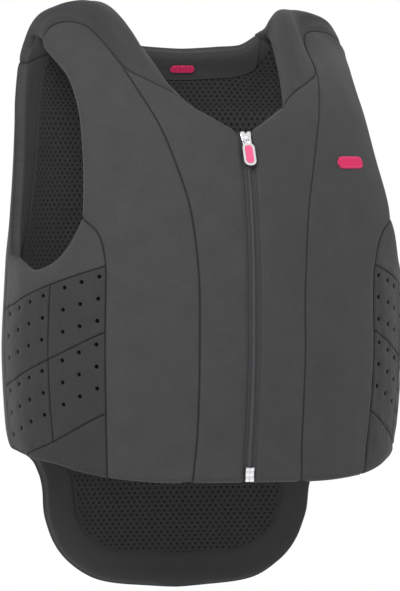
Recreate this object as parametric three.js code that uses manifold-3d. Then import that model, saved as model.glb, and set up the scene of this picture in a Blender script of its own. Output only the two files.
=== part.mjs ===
// Equestrian body protector: a padded vest as it sits on the wearer's shoulders.
// Millimetres, +Z up, the front faces -Y, the wearer's left side is +X.
import * as THREE from 'three';
import { mergeVertices } from 'three/addons/utils/BufferGeometryUtils.js';
import Module from 'manifold-3d';

const wasm = await Module();
wasm.setup();

// Overall sizes of the vest, measured on its outer face
const vestWidth = 432;
const frontDepth = 153;
const backDepth = 105;
const shoulderRise = 505;
const tailDrop = 114;

// Padding: full wall, the thinner wall at a bound edge, and how far the edge takes to thin out
const padWall = 16;
const edgeWall = 9;
const edgeRun = 13;

// Gaps between sewn neighbours, and between a piece and what it lies on
const seamGap = 0.4;
const layGap = 0.35;

// Vent holes in the side panels
const ventHoleDiameter = 4.6;
const ventHoleSides = 6;
const ventColumnPitch = 20;
const ventRowPitch = 23;
const ventMargin = 9;

// Inner sheets
const linerWall = 2;
const bandWall = 2;
const bandHeight = 30;
const linerInset = 32;

// Zip
const zipChannel = 15;
const tapeWall = 1.4;
const tapeInset = 4.8;
const teethWidth = 5.2;
const teethWall = 2.6;
const toothPitch = 9;
const toothWaist = 0.8;
const zipRows = 16;
const boxWidth = 9.5;
const boxHeight = 15;
const boxWall = 4.4;

// Zip slider and its pull tab
const sliderWidth = 11;
const sliderHeight = 16;
const sliderWall = 2.6;
const sliderDrop = 1;
const sink = 0.5;
const bridgeWidth = 2.4;
const bridgeBar = 1.3;
const pullBarRadius = 0.95;
const pullClearance = 0.4;
const pullReach = 2.2;
const pullWidth = 13.5;
const pullLength = 25;
const pullWall = 2;
const pullRim = 2.4;
const insertProud = 0.4;

// Plain accent tabs
const chestTabWidth = 36;
const chestTabHeight = 13;
const collarTabWidth = 25;
const collarTabHeight = 11;
const tabWall = 1;
const tabTip = 0.06;
const tabStand = 1;
const chestTabTurn = 39;
const chestTabRise = 0.66;

const halfWidth = vestWidth / 2;
const originHeight = shoulderRise - padWall;
const degree = Math.PI / 180;

// Body sections from the front hem up. rise is a share of shoulderRise, frontWide and backWide of
// half the width, front and centre of frontDepth, back of backDepth
const sections = [
  { rise: 0.00, frontWide: 0.940, backWide: 0.955, front: 0.900, back: 1.00, centre: 0.000 },
  { rise: 0.06, frontWide: 0.957, backWide: 0.968, front: 0.925, back: 0.99, centre: 0.000 },
  { rise: 0.14, frontWide: 0.980, backWide: 0.985, front: 0.965, back: 0.98, centre: 0.000 },
  { rise: 0.26, frontWide: 1.000, backWide: 1.000, front: 1.000, back: 0.97, centre: 0.000 },
  { rise: 0.36, frontWide: 0.995, backWide: 0.996, front: 1.000, back: 0.96, centre: 0.000 },
  { rise: 0.46, frontWide: 0.975, backWide: 0.985, front: 0.995, back: 0.95, centre: 0.000 },
  { rise: 0.56, frontWide: 0.942, backWide: 0.970, front: 0.965, back: 0.94, centre: 0.005 },
  { rise: 0.65, frontWide: 0.915, backWide: 0.957, front: 0.925, back: 0.92, centre: 0.030 },
  { rise: 0.74, frontWide: 0.895, backWide: 0.953, front: 0.865, back: 0.82, centre: 0.080 },
  { rise: 0.79, frontWide: 0.880, backWide: 0.950, front: 0.800, back: 0.75, centre: 0.130 },
  { rise: 0.865, frontWide: 0.850, backWide: 0.940, front: 0.660, back: 0.50, centre: 0.235 },
  { rise: 0.92, frontWide: 0.815, backWide: 0.925, front: 0.400, back: 0.22, centre: 0.320 },
  { rise: 0.97, frontWide: 0.800, backWide: 0.910, front: 0.130, back: 0.06, centre: 0.375 },
];

// Back depth of the tail. drop is a share of tailDrop, back of backDepth
const tailSections = [
  { drop: 0.00, back: 1.00 },
  { drop: 0.50, back: 1.00 },
  { drop: 0.80, back: 0.95 },
  { drop: 1.00, back: 0.87 },
];

// How round a section is: 2 is an ellipse, more is squarer. Its front width turns into its back
// width between two turns
const frontRoundness = 2.0;
const backRoundness = 3.2;
const widthBlend = [55, 125];

// Seams and edges on the outer face. turn is degrees round the body from the front centre, rise a
// share of shoulderRise
const princessSeam = [
  { turn: 17.4, rise: 0.000 },
  { turn: 16.2, rise: 0.100 },
  { turn: 15.8, rise: 0.300 },
  { turn: 16.2, rise: 0.420 },
  { turn: 18.8, rise: 0.560 },
  { turn: 22.6, rise: 0.650 },
  { turn: 27.4, rise: 0.740 },
  { turn: 36.8, rise: 0.865 },
];
const sideSeam = [
  { turn: 45.0, rise: 0.000 },
  { turn: 44.2, rise: 0.200 },
  { turn: 44.4, rise: 0.400 },
  { turn: 45.4, rise: 0.465 },
  { turn: 48.5, rise: 0.515 },
  { turn: 55.0, rise: 0.547 },
];
const frontArmhole = [
  { turn: 55.0, rise: 0.547 },
  { turn: 55.4, rise: 0.600 },
  { turn: 56.2, rise: 0.700 },
  { turn: 57.2, rise: 0.780 },
  { turn: 60.5, rise: 0.845 },
  { turn: 66.0, rise: 0.885 },
  { turn: 73.0, rise: 0.917 },
];
const backArmhole = [
  { turn: 97.0, rise: 0.468 },
  { turn: 103.0, rise: 0.527 },
  { turn: 109.5, rise: 0.650 },
  { turn: 115.0, rise: 0.790 },
  { turn: 118.0, rise: 0.871 },
];
const underarmEdge = [
  { turn: 55.0, rise: 0.547 },
  { turn: 57.0, rise: 0.518 },
  { turn: 60.0, rise: 0.486 },
  { turn: 65.0, rise: 0.457 },
  { turn: 72.0, rise: 0.440 },
  { turn: 79.0, rise: 0.437 },
  { turn: 88.0, rise: 0.450 },
  { turn: 97.0, rise: 0.468 },
];
const upperSlant = [
  { turn: 44.4, rise: 0.448 },
  { turn: 66.0, rise: 0.408 },
  { turn: 97.0, rise: 0.352 },
];
const middleSlant = [
  { turn: 44.4, rise: 0.310 },
  { turn: 66.0, rise: 0.253 },
  { turn: 97.0, rise: 0.192 },
];
const lowerSlant = [
  { turn: 44.6, rise: 0.142 },
  { turn: 66.0, rise: 0.082 },
  { turn: 84.0, rise: 0.053 },
];
const hemEdge = [
  { turn: 0.0, rise: 0.000 },
  { turn: 27.0, rise: 0.000 },
  { turn: 45.0, rise: 0.010 },
  { turn: 57.0, rise: 0.023 },
  { turn: 66.0, rise: 0.036 },
  { turn: 84.0, rise: 0.050 },
  { turn: 97.0, rise: 0.074 },
];
const middleTurn = 66;
const backSeamTurn = 97;

// Lower edge of the back from the back seam to the tail's middle. rise is a share of shoulderRise
// above the front hem, drop a share of tailDrop below it
const tailEdge = [
  { turn: 97.0, rise: 0.074, drop: 0.00 },
  { turn: 110.0, rise: 0.062, drop: 0.00 },
  { turn: 124.0, rise: 0.052, drop: 0.00 },
  { turn: 136.0, rise: 0.030, drop: 0.00 },
  { turn: 142.0, rise: 0.000, drop: 0.10 },
  { turn: 145.6, rise: 0.000, drop: 0.34 },
  { turn: 150.0, rise: 0.000, drop: 0.58 },
  { turn: 156.5, rise: 0.000, drop: 0.77 },
  { turn: 166.0, rise: 0.000, drop: 0.93 },
  { turn: 180.0, rise: 0.000, drop: 1.00 },
];
const neckNape = [
  { turn: 166.0, rise: 0.945 },
  { turn: 171.0, rise: 0.917 },
  { turn: 180.0, rise: 0.905 },
];

// Front neckline from the top of the zip to the strap, then the strap's front seam to the armhole.
// side is a share of half the width, rise of shoulderRise
const neckline = [
  { side: 0.035, rise: 0.727 },
  { side: 0.080, rise: 0.737 },
  { side: 0.155, rise: 0.757 },
  { side: 0.222, rise: 0.775 },
];
const strapSeam = [
  { side: 0.222, rise: 0.775 },
  { side: 0.310, rise: 0.806 },
  { side: 0.425, rise: 0.836 },
  { side: 0.507, rise: 0.865 },
  { side: 0.532, rise: 0.912 },
  { side: 0.562, rise: 0.942 },
  { side: 0.600, rise: 0.953 },
  { side: 0.640, rise: 0.956 },
  { side: 0.680, rise: 0.955 },
  { side: 0.715, rise: 0.950 },
  { side: 0.750, rise: 0.938 },
  { side: 0.779, rise: 0.917 },
];
// Rows of strapSeam where the princess seam ends, and where the seam turns along the shoulder
const princessRow = 3;
const shoulderRow = 5;

// Top of the strap over the shoulder and its back seam. front is the side share of the front
// seam's point that they lie behind, side a share of half the width, depth of backDepth, rise of
// shoulderRise, and arch how far the strap arches away from a straight line, 1 fully
const strapRidge = [
  { front: 0.222, side: 0.385, depth: 0.38, rise: 0.952, arch: 0.25 },
  { front: 0.310, side: 0.425, depth: 0.44, rise: 0.978, arch: 0.60 },
  { front: 0.425, side: 0.470, depth: 0.48, rise: 0.996, arch: 0.90 },
  { front: 0.507, side: 0.520, depth: 0.50, rise: 1.000, arch: 1.00 },
  { front: 0.562, side: 0.585, depth: 0.51, rise: 0.999, arch: 1.00 },
  { front: 0.640, side: 0.665, depth: 0.52, rise: 0.991, arch: 1.00 },
  { front: 0.715, side: 0.745, depth: 0.52, rise: 0.974, arch: 1.00 },
  { front: 0.779, side: 0.815, depth: 0.51, rise: 0.936, arch: 1.00 },
];
const strapBackSeam = [
  { front: 0.222, turn: 166.0, rise: 0.945 },
  { front: 0.507, turn: 149.0, rise: 0.916 },
  { front: 0.640, turn: 134.0, rise: 0.895 },
  { front: 0.779, turn: 118.0, rise: 0.871 },
];

// Smooth curve through the rows of a table: the value of one column at a place in another
function follow(table, place, at, column) {
  const last = table.length - 1;
  let row = 0;
  while (row < last - 1 && at > table[row + 1][place]) row += 1;
  const slope = (i) => {
    const a = table[Math.max(i - 1, 0)];
    const b = table[Math.min(i + 1, last)];
    return (b[column] - a[column]) / (b[place] - a[place]);
  };
  const from = table[row];
  const to = table[row + 1];
  const span = to[place] - from[place];
  const u = THREE.MathUtils.clamp((at - from[place]) / span, 0, 1);
  const h00 = (1 + 2 * u) * (1 - u) ** 2;
  const h10 = u * (1 - u) ** 2;
  const h01 = u * u * (3 - 2 * u);
  const h11 = u * u * (u - 1);
  return h00 * from[column] + h10 * span * slope(row)
    + h01 * to[column] + h11 * span * slope(row + 1);
}

// Half width, front depth, back depth and centre of the section at a height above the front hem
function sectionAt(height) {
  const rise = Math.max(height, 0) / shoulderRise;
  const value = (column) => follow(sections, 'rise', rise, column);
  const drop = Math.max(-height, 0) / tailDrop;
  return {
    frontWide: value('frontWide') * halfWidth,
    backWide: value('backWide') * halfWidth,
    front: value('front') * frontDepth,
    back: value('back') * follow(tailSections, 'drop', drop, 'back') * backDepth,
    centre: value('centre') * frontDepth,
  };
}

// Point of the outer face at a turn and height, for the wearer's left side
function facePoint(turn, height) {
  const section = sectionAt(height);
  const isFront = turn < 90;
  const power = 2 / (isFront ? frontRoundness : backRoundness);
  const blend = THREE.MathUtils.smoothstep(turn, ...widthBlend);
  const wide = THREE.MathUtils.lerp(section.frontWide, section.backWide, blend);
  const sineOf = Math.sin(turn * degree);
  const sine = Math.sign(sineOf) * Math.abs(sineOf) ** power;
  const cosine = Math.abs(Math.cos(turn * degree)) ** power;
  const depth = isFront ? -section.front : section.back;
  return new THREE.Vector3(wide * sine, section.centre + depth * cosine, height);
}

// Outward direction of the outer face
function faceNormal(turn, height) {
  const stepTurn = 0.5;
  const stepHeight = 1;
  const round = facePoint(turn + stepTurn, height).sub(facePoint(turn - stepTurn, height));
  const up = facePoint(turn, height + stepHeight).sub(facePoint(turn, height - stepHeight));
  return new THREE.Vector3().crossVectors(round, up).normalize();
}

// The turn at which the front face is a given way out from the middle
function turnAtSide(side, height) {
  const share = side / sectionAt(height).frontWide;
  return Math.asin(Math.min(share, 1) ** (frontRoundness / 2)) / degree;
}

// Places on the outer face: turn and height
const place = (turn, height) => ({ turn, height });
const alongSeam = (table) => (height) => {
  return place(follow(table, 'rise', height / shoulderRise, 'turn'), height);
};
const alongEdge = (table) => (turn) => {
  return place(turn, follow(table, 'turn', turn, 'rise') * shoulderRise);
};

const onPrincess = alongSeam(princessSeam);
const onSideSeam = alongSeam(sideSeam);
const onFrontArmhole = alongSeam(frontArmhole);
const onBackArmhole = alongSeam(backArmhole);
const onHem = alongEdge(hemEdge);
const onUnderarm = alongEdge(underarmEdge);
const onUpperSlant = alongEdge(upperSlant);
const onMiddleSlant = alongEdge(middleSlant);
const onLowerSlant = alongEdge(lowerSlant);

const spread = (from, to, count) => {
  return Array.from({ length: count + 1 }, (_, i) => from + (to - from) * i / count);
};
const riseOf = (table) => table[table.length - 1].rise * shoulderRise;

// A grid of places filled in between four edges that share their corners
function fillGrid(bottom, top, left, right) {
  const across = bottom.length - 1;
  const up = left.length - 1;
  const mmPerTurn = halfWidth * degree;
  const lengths = (line) => {
    const sums = [0];
    for (let i = 1; i < line.length; i += 1) {
      const run = (line[i].turn - line[i - 1].turn) * mmPerTurn;
      sums.push(sums[i - 1] + Math.hypot(run, line[i].height - line[i - 1].height));
    }
    return sums.map((sum) => sum / sums[sums.length - 1]);
  };
  const mean = (a, b) => a.map((value, i) => (value + b[i]) / 2);
  const s = mean(lengths(bottom), lengths(top));
  const t = mean(lengths(left), lengths(right));
  const grid = [];
  for (let j = 0; j <= up; j += 1) {
    const row = [];
    for (let i = 0; i <= across; i += 1) {
      const fill = (key) => {
        const a = s[i];
        const b = t[j];
        const edges = (1 - b) * bottom[i][key] + b * top[i][key]
          + (1 - a) * left[j][key] + a * right[j][key];
        const corners = (1 - a) * (1 - b) * bottom[0][key] + a * (1 - b) * bottom[across][key]
          + (1 - a) * b * top[0][key] + a * b * top[across][key];
        return edges - corners;
      };
      row.push(place(fill('turn'), fill('height')));
    }
    grid.push(row);
  }
  return grid;
}

// Outer and inner skins of a grid of places, with the wall between two insets. thin says which
// corners of the grid lie on a bound edge, where the padding is thinner, and lining that both
// skins lie on the padding's inner face
function skins(grid, { outer = 0, inner = padWall, thin = () => false, lining = false }) {
  const thinBy = (padWall - edgeWall) / 2;
  const layer = (inset, sign) => grid.map((row, j) => row.map(({ turn, height }, i) => {
    const depth = inset + (thin(i, j) ? sign * thinBy : 0);
    return facePoint(turn, height).addScaledVector(faceNormal(turn, height), -depth);
  }));
  return [layer(outer, lining ? -1 : 1), layer(inner, -1)];
}

// Draws the sewn edges of both skins back by half the seam gap, square to the seam
function drawBack([outer, inner], sewn) {
  const rows = outer.length - 1;
  const columns = outer[0].length - 1;
  const across = new THREE.Vector3().subVectors(outer[1][1], outer[1][0]);
  const up = new THREE.Vector3().subVectors(outer[1][0], outer[0][0]);
  const hand = Math.sign(across.cross(up).dot(outer[1][0]) - across.dot(inner[1][0]));
  const out = (j, i) => {
    return new THREE.Vector3().subVectors(outer[j][i], inner[j][i]).multiplyScalar(hand);
  };
  return [outer, inner].map((skin) => {
    const moved = skin.map((row) => row.map((point) => point.clone()));
    const push = (j, i, way) => moved[j][i].addScaledVector(way.normalize(), seamGap / 2);
    for (let j = 0; j <= rows; j += 1) {
      const along = (i) => new THREE.Vector3().subVectors(
        skin[Math.min(j + 1, rows)][i], skin[Math.max(j - 1, 0)][i]);
      if (sewn('left', j)) push(j, 0, along(0).cross(out(j, 0)));
      if (sewn('right', j)) push(j, columns, out(j, columns).cross(along(columns)));
    }
    for (let i = 0; i <= columns; i += 1) {
      const along = (j) => new THREE.Vector3().subVectors(
        skin[j][Math.min(i + 1, columns)], skin[j][Math.max(i - 1, 0)]);
      if (sewn('bottom', i)) push(0, i, out(0, i).cross(along(0)));
      if (sewn('top', i)) push(rows, i, along(rows).cross(out(rows, i)));
    }
    return moved;
  });
}

// The same skins on the wearer's left, side 1, or right, side -1
function onSide(pair, side) {
  return pair.map((skin) => skin.map((row) => row.map((point) => {
    return new THREE.Vector3(point.x * side, point.y, point.z);
  })));
}

// Closed geometry from two skins of the same grid, joined by a rim. Columns before mirrorColumn
// are a mirror image, and their top rim is split the other way
function closedWall([outer, inner], mirrorColumn = 0) {
  const rows = outer.length;
  const columns = outer[0].length;
  const positions = [...outer.flat(), ...inner.flat()].flatMap((point) => point.toArray());
  const at = (layer, j, i) => layer * rows * columns + j * columns + i;
  const index = [];
  const quad = (a, b, c, d) => index.push(a, b, c, a, c, d);
  for (let j = 0; j < rows - 1; j += 1) {
    for (let i = 0; i < columns - 1; i += 1) {
      quad(at(0, j, i), at(0, j, i + 1), at(0, j + 1, i + 1), at(0, j + 1, i));
      quad(at(1, j, i), at(1, j + 1, i), at(1, j + 1, i + 1), at(1, j, i + 1));
    }
  }
  for (let i = 0; i < columns - 1; i += 1) {
    quad(at(0, 0, i), at(1, 0, i), at(1, 0, i + 1), at(0, 0, i + 1));
    const topRim = [at(0, rows - 1, i), at(0, rows - 1, i + 1), at(1, rows - 1, i + 1),
      at(1, rows - 1, i)];
    if (i < mirrorColumn) topRim.push(topRim.shift());
    quad(...topRim);
  }
  for (let j = 0; j < rows - 1; j += 1) {
    quad(at(0, j, 0), at(0, j + 1, 0), at(1, j + 1, 0), at(1, j, 0));
    quad(at(0, j, columns - 1), at(1, j, columns - 1), at(1, j + 1, columns - 1),
      at(0, j + 1, columns - 1));
  }
  return facingOut(positions, index);
}

// Geometry whose faces point out, whichever way round its grid was drawn
function facingOut(positions, index) {
  let volume = 0;
  const corner = (k) => new THREE.Vector3().fromArray(positions, index[k] * 3);
  for (let k = 0; k < index.length; k += 3) {
    volume += corner(k).dot(corner(k + 1).cross(corner(k + 2)));
  }
  if (volume < 0) index.reverse();
  const geometry = new THREE.BufferGeometry();
  geometry.setAttribute('position', new THREE.Float32BufferAttribute(positions, 3));
  geometry.setIndex(index);
  return geometry;
}

// Booleans, by way of manifold solids
function toSolid(geometry) {
  const bare = geometry.clone();
  bare.deleteAttribute('normal');
  bare.deleteAttribute('uv');
  const merged = mergeVertices(bare, 1e-4);
  return new wasm.Manifold(new wasm.Mesh({
    numProp: 3,
    vertProperties: new Float32Array(merged.attributes.position.array),
    triVerts: new Uint32Array(merged.index.array),
  }));
}

function toGeometry(solid) {
  const mesh = solid.getMesh();
  const geometry = new THREE.BufferGeometry();
  geometry.setAttribute('position', new THREE.BufferAttribute(mesh.vertProperties, 3));
  geometry.setIndex(new THREE.BufferAttribute(mesh.triVerts, 1));
  return geometry;
}

// Materials
const shellCloth = () => new THREE.MeshStandardMaterial({ color: '#3f4042', roughness: 0.85 });
const sideCloth = () => new THREE.MeshStandardMaterial({ color: '#363739', roughness: 0.85 });
const linerMesh = () => new THREE.MeshStandardMaterial({ color: '#2c2d2f', roughness: 0.95 });
const tapeCloth = () => new THREE.MeshStandardMaterial({ color: '#26272a', roughness: 0.9 });
const teethPlastic = () => new THREE.MeshStandardMaterial({ color: '#303134', roughness: 0.5 });
const zipMetal = () => {
  return new THREE.MeshStandardMaterial({ color: '#c9cbce', roughness: 0.25, metalness: 1 });
};
const crimsonRubber = () => new THREE.MeshStandardMaterial({ color: '#c8305c', roughness: 0.5 });
const crimsonCloth = () => new THREE.MeshStandardMaterial({ color: '#a31a45', roughness: 0.7 });

const vest = new THREE.Group();
vest.position.z = -originHeight;

function addPiece(name, geometry, material) {
  const mesh = new THREE.Mesh(geometry, material);
  mesh.name = name;
  vest.add(mesh);
}

// A padded panel between four edges. sewn says which edge points meet a neighbour, the rest of
// the edge is bound and thinner
function addPanel(name, edges, { sewn, side, material = shellCloth, bore = null }) {
  const grid = fillGrid(edges.bottom, edges.top, edges.left, edges.right);
  const rows = grid.length - 1;
  const columns = grid[0].length - 1;
  const thin = (i, j) => (j === 0 && !sewn('bottom', i)) || (j === rows && !sewn('top', i))
    || (i === 0 && !sewn('left', j)) || (i === columns && !sewn('right', j));
  const wall = closedWall(onSide(drawBack(skins(grid, { thin }), sewn), side));
  addPiece(name, bore ? bore(wall) : wall, material());
}

const named = (name, side) => `${name}_${side > 0 ? 'left' : 'right'}`;

// Heights of the rows of the front panels where they meet the side panels and the armhole
const seamStart = onHem(sideSeam[0].turn).height;
const slantStart = (table) => table[0].rise * shoulderRise;
const sideBreaks = [slantStart(lowerSlant), slantStart(middleSlant), slantStart(upperSlant),
  riseOf(sideSeam)];
const between = (from, to, count) => spread(from, to, count).slice(1);
const sideSeamHeights = [
  seamStart,
  seamStart + edgeRun,
  ...between(seamStart + edgeRun, sideBreaks[0], 1),
  ...between(sideBreaks[0], sideBreaks[1], 2),
  ...between(sideBreaks[1], sideBreaks[2], 2),
  ...between(sideBreaks[2], sideBreaks[3], 2),
];
const armholeHeights = between(riseOf(sideSeam), riseOf(frontArmhole), 7);

const sideEdge = [...sideSeamHeights.map(onSideSeam), ...armholeHeights.map(onFrontArmhole)];

// The centre panels' rows lie at the same shares of their height as those of the side edge
const centreRows = sideEdge.length - (shoulderRow - princessRow);
const centreSpan = sideEdge[centreRows - 1].height - seamStart;
const rowShares = sideEdge.slice(0, centreRows).map(({ height }) => {
  return (height - seamStart) / centreSpan;
});

const onFront = ({ side, rise }) => {
  return place(turnAtSide(side * halfWidth, rise * shoulderRise), rise * shoulderRise);
};
const necklinePlaces = neckline.map(onFront);
const strapPlaces = strapSeam.map(onFront);

const strapBackPlaces = strapSeam.map(({ side }) => place(
  follow(strapBackSeam, 'front', side, 'turn'),
  follow(strapBackSeam, 'front', side, 'rise') * shoulderRise));

function frontPanels(side) {
  const zipHalf = zipChannel / 2;
  const princess = rowShares.map((share) => onPrincess(share * riseOf(princessSeam)));
  princess[princess.length - 1] = strapPlaces[princessRow];
  const neckTop = [...necklinePlaces, ...strapPlaces.slice(1, princessRow + 1)];
  neckTop[0] = place(turnAtSide(zipHalf, neckTop[0].height), neckTop[0].height);
  const zipEdge = rowShares.map((share) => {
    const height = share * neckTop[0].height;
    return place(turnAtSide(zipHalf, height), height);
  });
  const centreHem = spread(zipEdge[0].turn, princess[0].turn, neckTop.length - 1).map(onHem);
  addPanel(named('front_center', side), {
    bottom: centreHem, top: neckTop, left: zipEdge, right: princess,
  }, {
    side,
    sewn: (edge, k) => edge === 'right' || (edge === 'top' && k >= necklinePlaces.length - 1),
  });
  const left = [...princess, ...strapPlaces.slice(princessRow + 1, shoulderRow + 1)];
  const top = strapPlaces.slice(shoulderRow);
  const right = [...sideEdge];
  right[right.length - 1] = top[top.length - 1];
  const nearEdge = 0.9;
  const stops = [...spread(0, nearEdge, top.length - 2), 1];
  const bottom = stops.map((share) => {
    return onHem(THREE.MathUtils.lerp(princess[0].turn, sideEdge[0].turn, share));
  });
  addPanel(named('front_side', side), { bottom, top, left, right }, {
    side,
    sewn: (edge, k) => edge === 'left' || edge === 'top'
      || (edge === 'right' && k < sideSeamHeights.length),
  });
}

// The strap: each row of points runs from its front seam over the ridge to its back seam
function shoulderYoke(side) {
  const steps = 4;
  const hermite = (a, b, wayA, wayB, u) => {
    return new THREE.Vector3()
      .addScaledVector(a, (1 + 2 * u) * (1 - u) ** 2)
      .addScaledVector(wayA, u * (1 - u) ** 2)
      .addScaledVector(b, u * u * (3 - 2 * u))
      .addScaledVector(wayB, u * u * (u - 1));
  };
  const upFace = ({ turn, height }) => {
    return facePoint(turn, height + 1).sub(facePoint(turn, height - 1)).normalize();
  };
  const line = (i, u) => {
    const front = strapPlaces[i];
    const back = strapBackPlaces[i];
    const onRidge = (column) => follow(strapRidge, 'front', strapSeam[i].side, column);
    const from = facePoint(front.turn, front.height);
    const to = facePoint(back.turn, back.height);
    const top = new THREE.Vector3(onRidge('side') * halfWidth, onRidge('depth') * backDepth,
      onRidge('rise') * shoulderRise);
    const forward = from.distanceTo(top) * onRidge('arch');
    const behind = to.distanceTo(top);
    const over = new THREE.Vector3(to.x - from.x, to.y - from.y, 0).normalize();
    if (u <= 1) {
      return hermite(from, top, upFace(front).multiplyScalar(forward),
        over.clone().multiplyScalar(forward), u);
    }
    return hermite(top, to, over.clone().multiplyScalar(behind),
      upFace(back).multiplyScalar(-behind), u - 1);
  };
  const places = [...spread(0, 1, steps), ...between(1, 2, steps)];
  const outer = places.map((u) => strapPlaces.map((_, i) => line(i, u)));
  const rows = outer.length - 1;
  const columns = outer[0].length - 1;
  const normalAt = (j, i) => {
    if (j === 0) return faceNormal(strapPlaces[i].turn, strapPlaces[i].height);
    if (j === rows) return faceNormal(strapBackPlaces[i].turn, strapBackPlaces[i].height);
    const across = new THREE.Vector3().subVectors(
      outer[j][Math.min(i + 1, columns)], outer[j][Math.max(i - 1, 0)]);
    const along = new THREE.Vector3().subVectors(outer[j + 1][i], outer[j - 1][i]);
    return across.cross(along).normalize();
  };
  const thinBy = (padWall - edgeWall) / 2;
  const layer = (inset, sign) => outer.map((row, j) => row.map((point, i) => {
    const depth = inset + (i === 0 || i === columns ? sign * thinBy : 0);
    return point.clone().addScaledVector(normalAt(j, i), -depth);
  }));
  const sewn = (edge) => edge === 'bottom' || edge === 'top';
  const pair = drawBack([layer(0, 1), layer(padWall, -1)], sewn);
  addPiece(named('shoulder_yoke', side), closedWall(onSide(pair, side)), shellCloth());
}

// Punches vent holes through a side panel, in columns that step down with its slanting edges
function punchVents({ bottom, top }, side) {
  const last = bottom.length - 1;
  const middle = (bottom[0].height + top[0].height) / 2;
  const turnPerMm = (turn) => 1 / facePoint(turn + 1, middle).distanceTo(facePoint(turn, middle));
  const edgeAt = (edge, turn) => {
    const share = (turn - bottom[0].turn) / (bottom[last].turn - bottom[0].turn);
    return THREE.MathUtils.lerp(edge[0].height, edge[last].height, share);
  };
  return (wall) => {
    let solid = toSolid(wall);
    let turn = bottom[0].turn + ventMargin * turnPerMm(bottom[0].turn);
    while (turn < bottom[last].turn - ventMargin * turnPerMm(bottom[last].turn - 1)) {
      const low = edgeAt(bottom, turn) + ventMargin;
      const high = edgeAt(top, turn) - ventMargin;
      for (let height = high; height > low; height -= ventRowPitch) {
        const normal = faceNormal(turn, height);
        const point = facePoint(turn, height).addScaledVector(normal, -padWall / 2);
        point.x *= side;
        normal.x *= side;
        const punch = new THREE.CylinderGeometry(ventHoleDiameter / 2, ventHoleDiameter / 2,
          padWall * 2, ventHoleSides);
        punch.applyQuaternion(new THREE.Quaternion().setFromUnitVectors(
          new THREE.Vector3(0, 1, 0), normal));
        punch.translate(point.x, point.y, point.z);
        solid = solid.subtract(toSolid(punch));
      }
      turn += ventColumnPitch * turnPerMm(turn);
    }
    return toGeometry(solid);
  };
}

function sidePanels(side) {
  const frontTurns = spread(sideSeam[0].turn, middleTurn, 3);
  const backTurns = spread(middleTurn, backSeamTurn, 4);
  const allSewn = () => true;
  const lowAt = (turn) => {
    const hem = onHem(turn);
    const slant = turn < lowerSlant[lowerSlant.length - 1].turn ? onLowerSlant(turn) : hem;
    return slant.height > hem.height ? slant : hem;
  };
  const block = (lowEdge, highEdge, turns, left, right) => {
    const bottom = turns.map(lowEdge);
    const top = turns.map(highEdge);
    const last = turns.length - 1;
    bottom[0] = left[0];
    top[0] = left[left.length - 1];
    bottom[last] = right[0];
    top[last] = right[right.length - 1];
    return { bottom, top, left, right };
  };
  const upright = (turn, lowEdge, highEdge) => {
    const ends = [lowEdge(turn).height, highEdge(turn).height];
    return spread(ends[0], ends[1], 2).map((height) => place(turn, height));
  };
  const onSeam = (k) => spread(sideBreaks[k], sideBreaks[k + 1], 2).map(onSideSeam);
  const upperMiddle = upright(middleTurn, onMiddleSlant, onUpperSlant);
  const lowerMiddle = upright(middleTurn, onLowerSlant, onMiddleSlant);
  const upperFront = block(onMiddleSlant, onUpperSlant, frontTurns, onSeam(1), upperMiddle);
  const upperBack = block(onMiddleSlant, onUpperSlant, backTurns, upperMiddle,
    upright(backSeamTurn, onMiddleSlant, onUpperSlant));
  const lowerFront = block(onLowerSlant, onMiddleSlant, frontTurns, onSeam(0), lowerMiddle);
  const lowerBack = block(lowAt, onMiddleSlant, backTurns, lowerMiddle,
    upright(backSeamTurn, onHem, onMiddleSlant));
  const vents = [
    ['vent_upper_front', upperFront, allSewn],
    ['vent_upper_back', upperBack, allSewn],
    ['vent_lower_front', lowerFront, allSewn],
    ['vent_lower_back', lowerBack, (edge, k) => edge !== 'bottom' || k < 2],
  ];
  for (const [name, edges, sewn] of vents) {
    addPanel(named(name, side), edges, {
      side, sewn, material: sideCloth, bore: punchVents(edges, side),
    });
  }

  const wedgeTurns = [...frontTurns, ...backTurns.slice(1, 3)];
  const wedgeLeft = [seamStart, seamStart + edgeRun, sideBreaks[0]].map(onSideSeam);
  const wedgeRight = upright(backTurns[2], onHem, onLowerSlant);
  addPanel(named('side_hem', side), block(onHem, onLowerSlant, wedgeTurns, wedgeLeft, wedgeRight), {
    side, sewn: (edge) => edge !== 'bottom', material: sideCloth,
  });

  const slantTurns = [...frontTurns, ...backTurns.slice(1)];
  const armTop = underarmEdge.map((row) => onUnderarm(row.turn));
  const armLeft = onSeam(2);
  const armRight = upright(backSeamTurn, onUpperSlant, onUnderarm);
  const armBottom = slantTurns.map(onUpperSlant);
  armBottom[0] = armLeft[0];
  addPanel(named('underarm', side), {
    bottom: armBottom, top: armTop, left: armLeft, right: armRight,
  }, { side, sewn: (edge) => edge !== 'top', material: shellCloth });
}

// Turns a half grid that starts at the back centre into a whole one
function wholeBack(skin) {
  const mirror = (point) => new THREE.Vector3(-point.x, point.y, point.z);
  return skin.map((row) => {
    const half = row.map((point) => point.clone());
    half[0].x = 0;
    return [...half.slice(1).reverse().map(mirror), ...half];
  });
}

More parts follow.
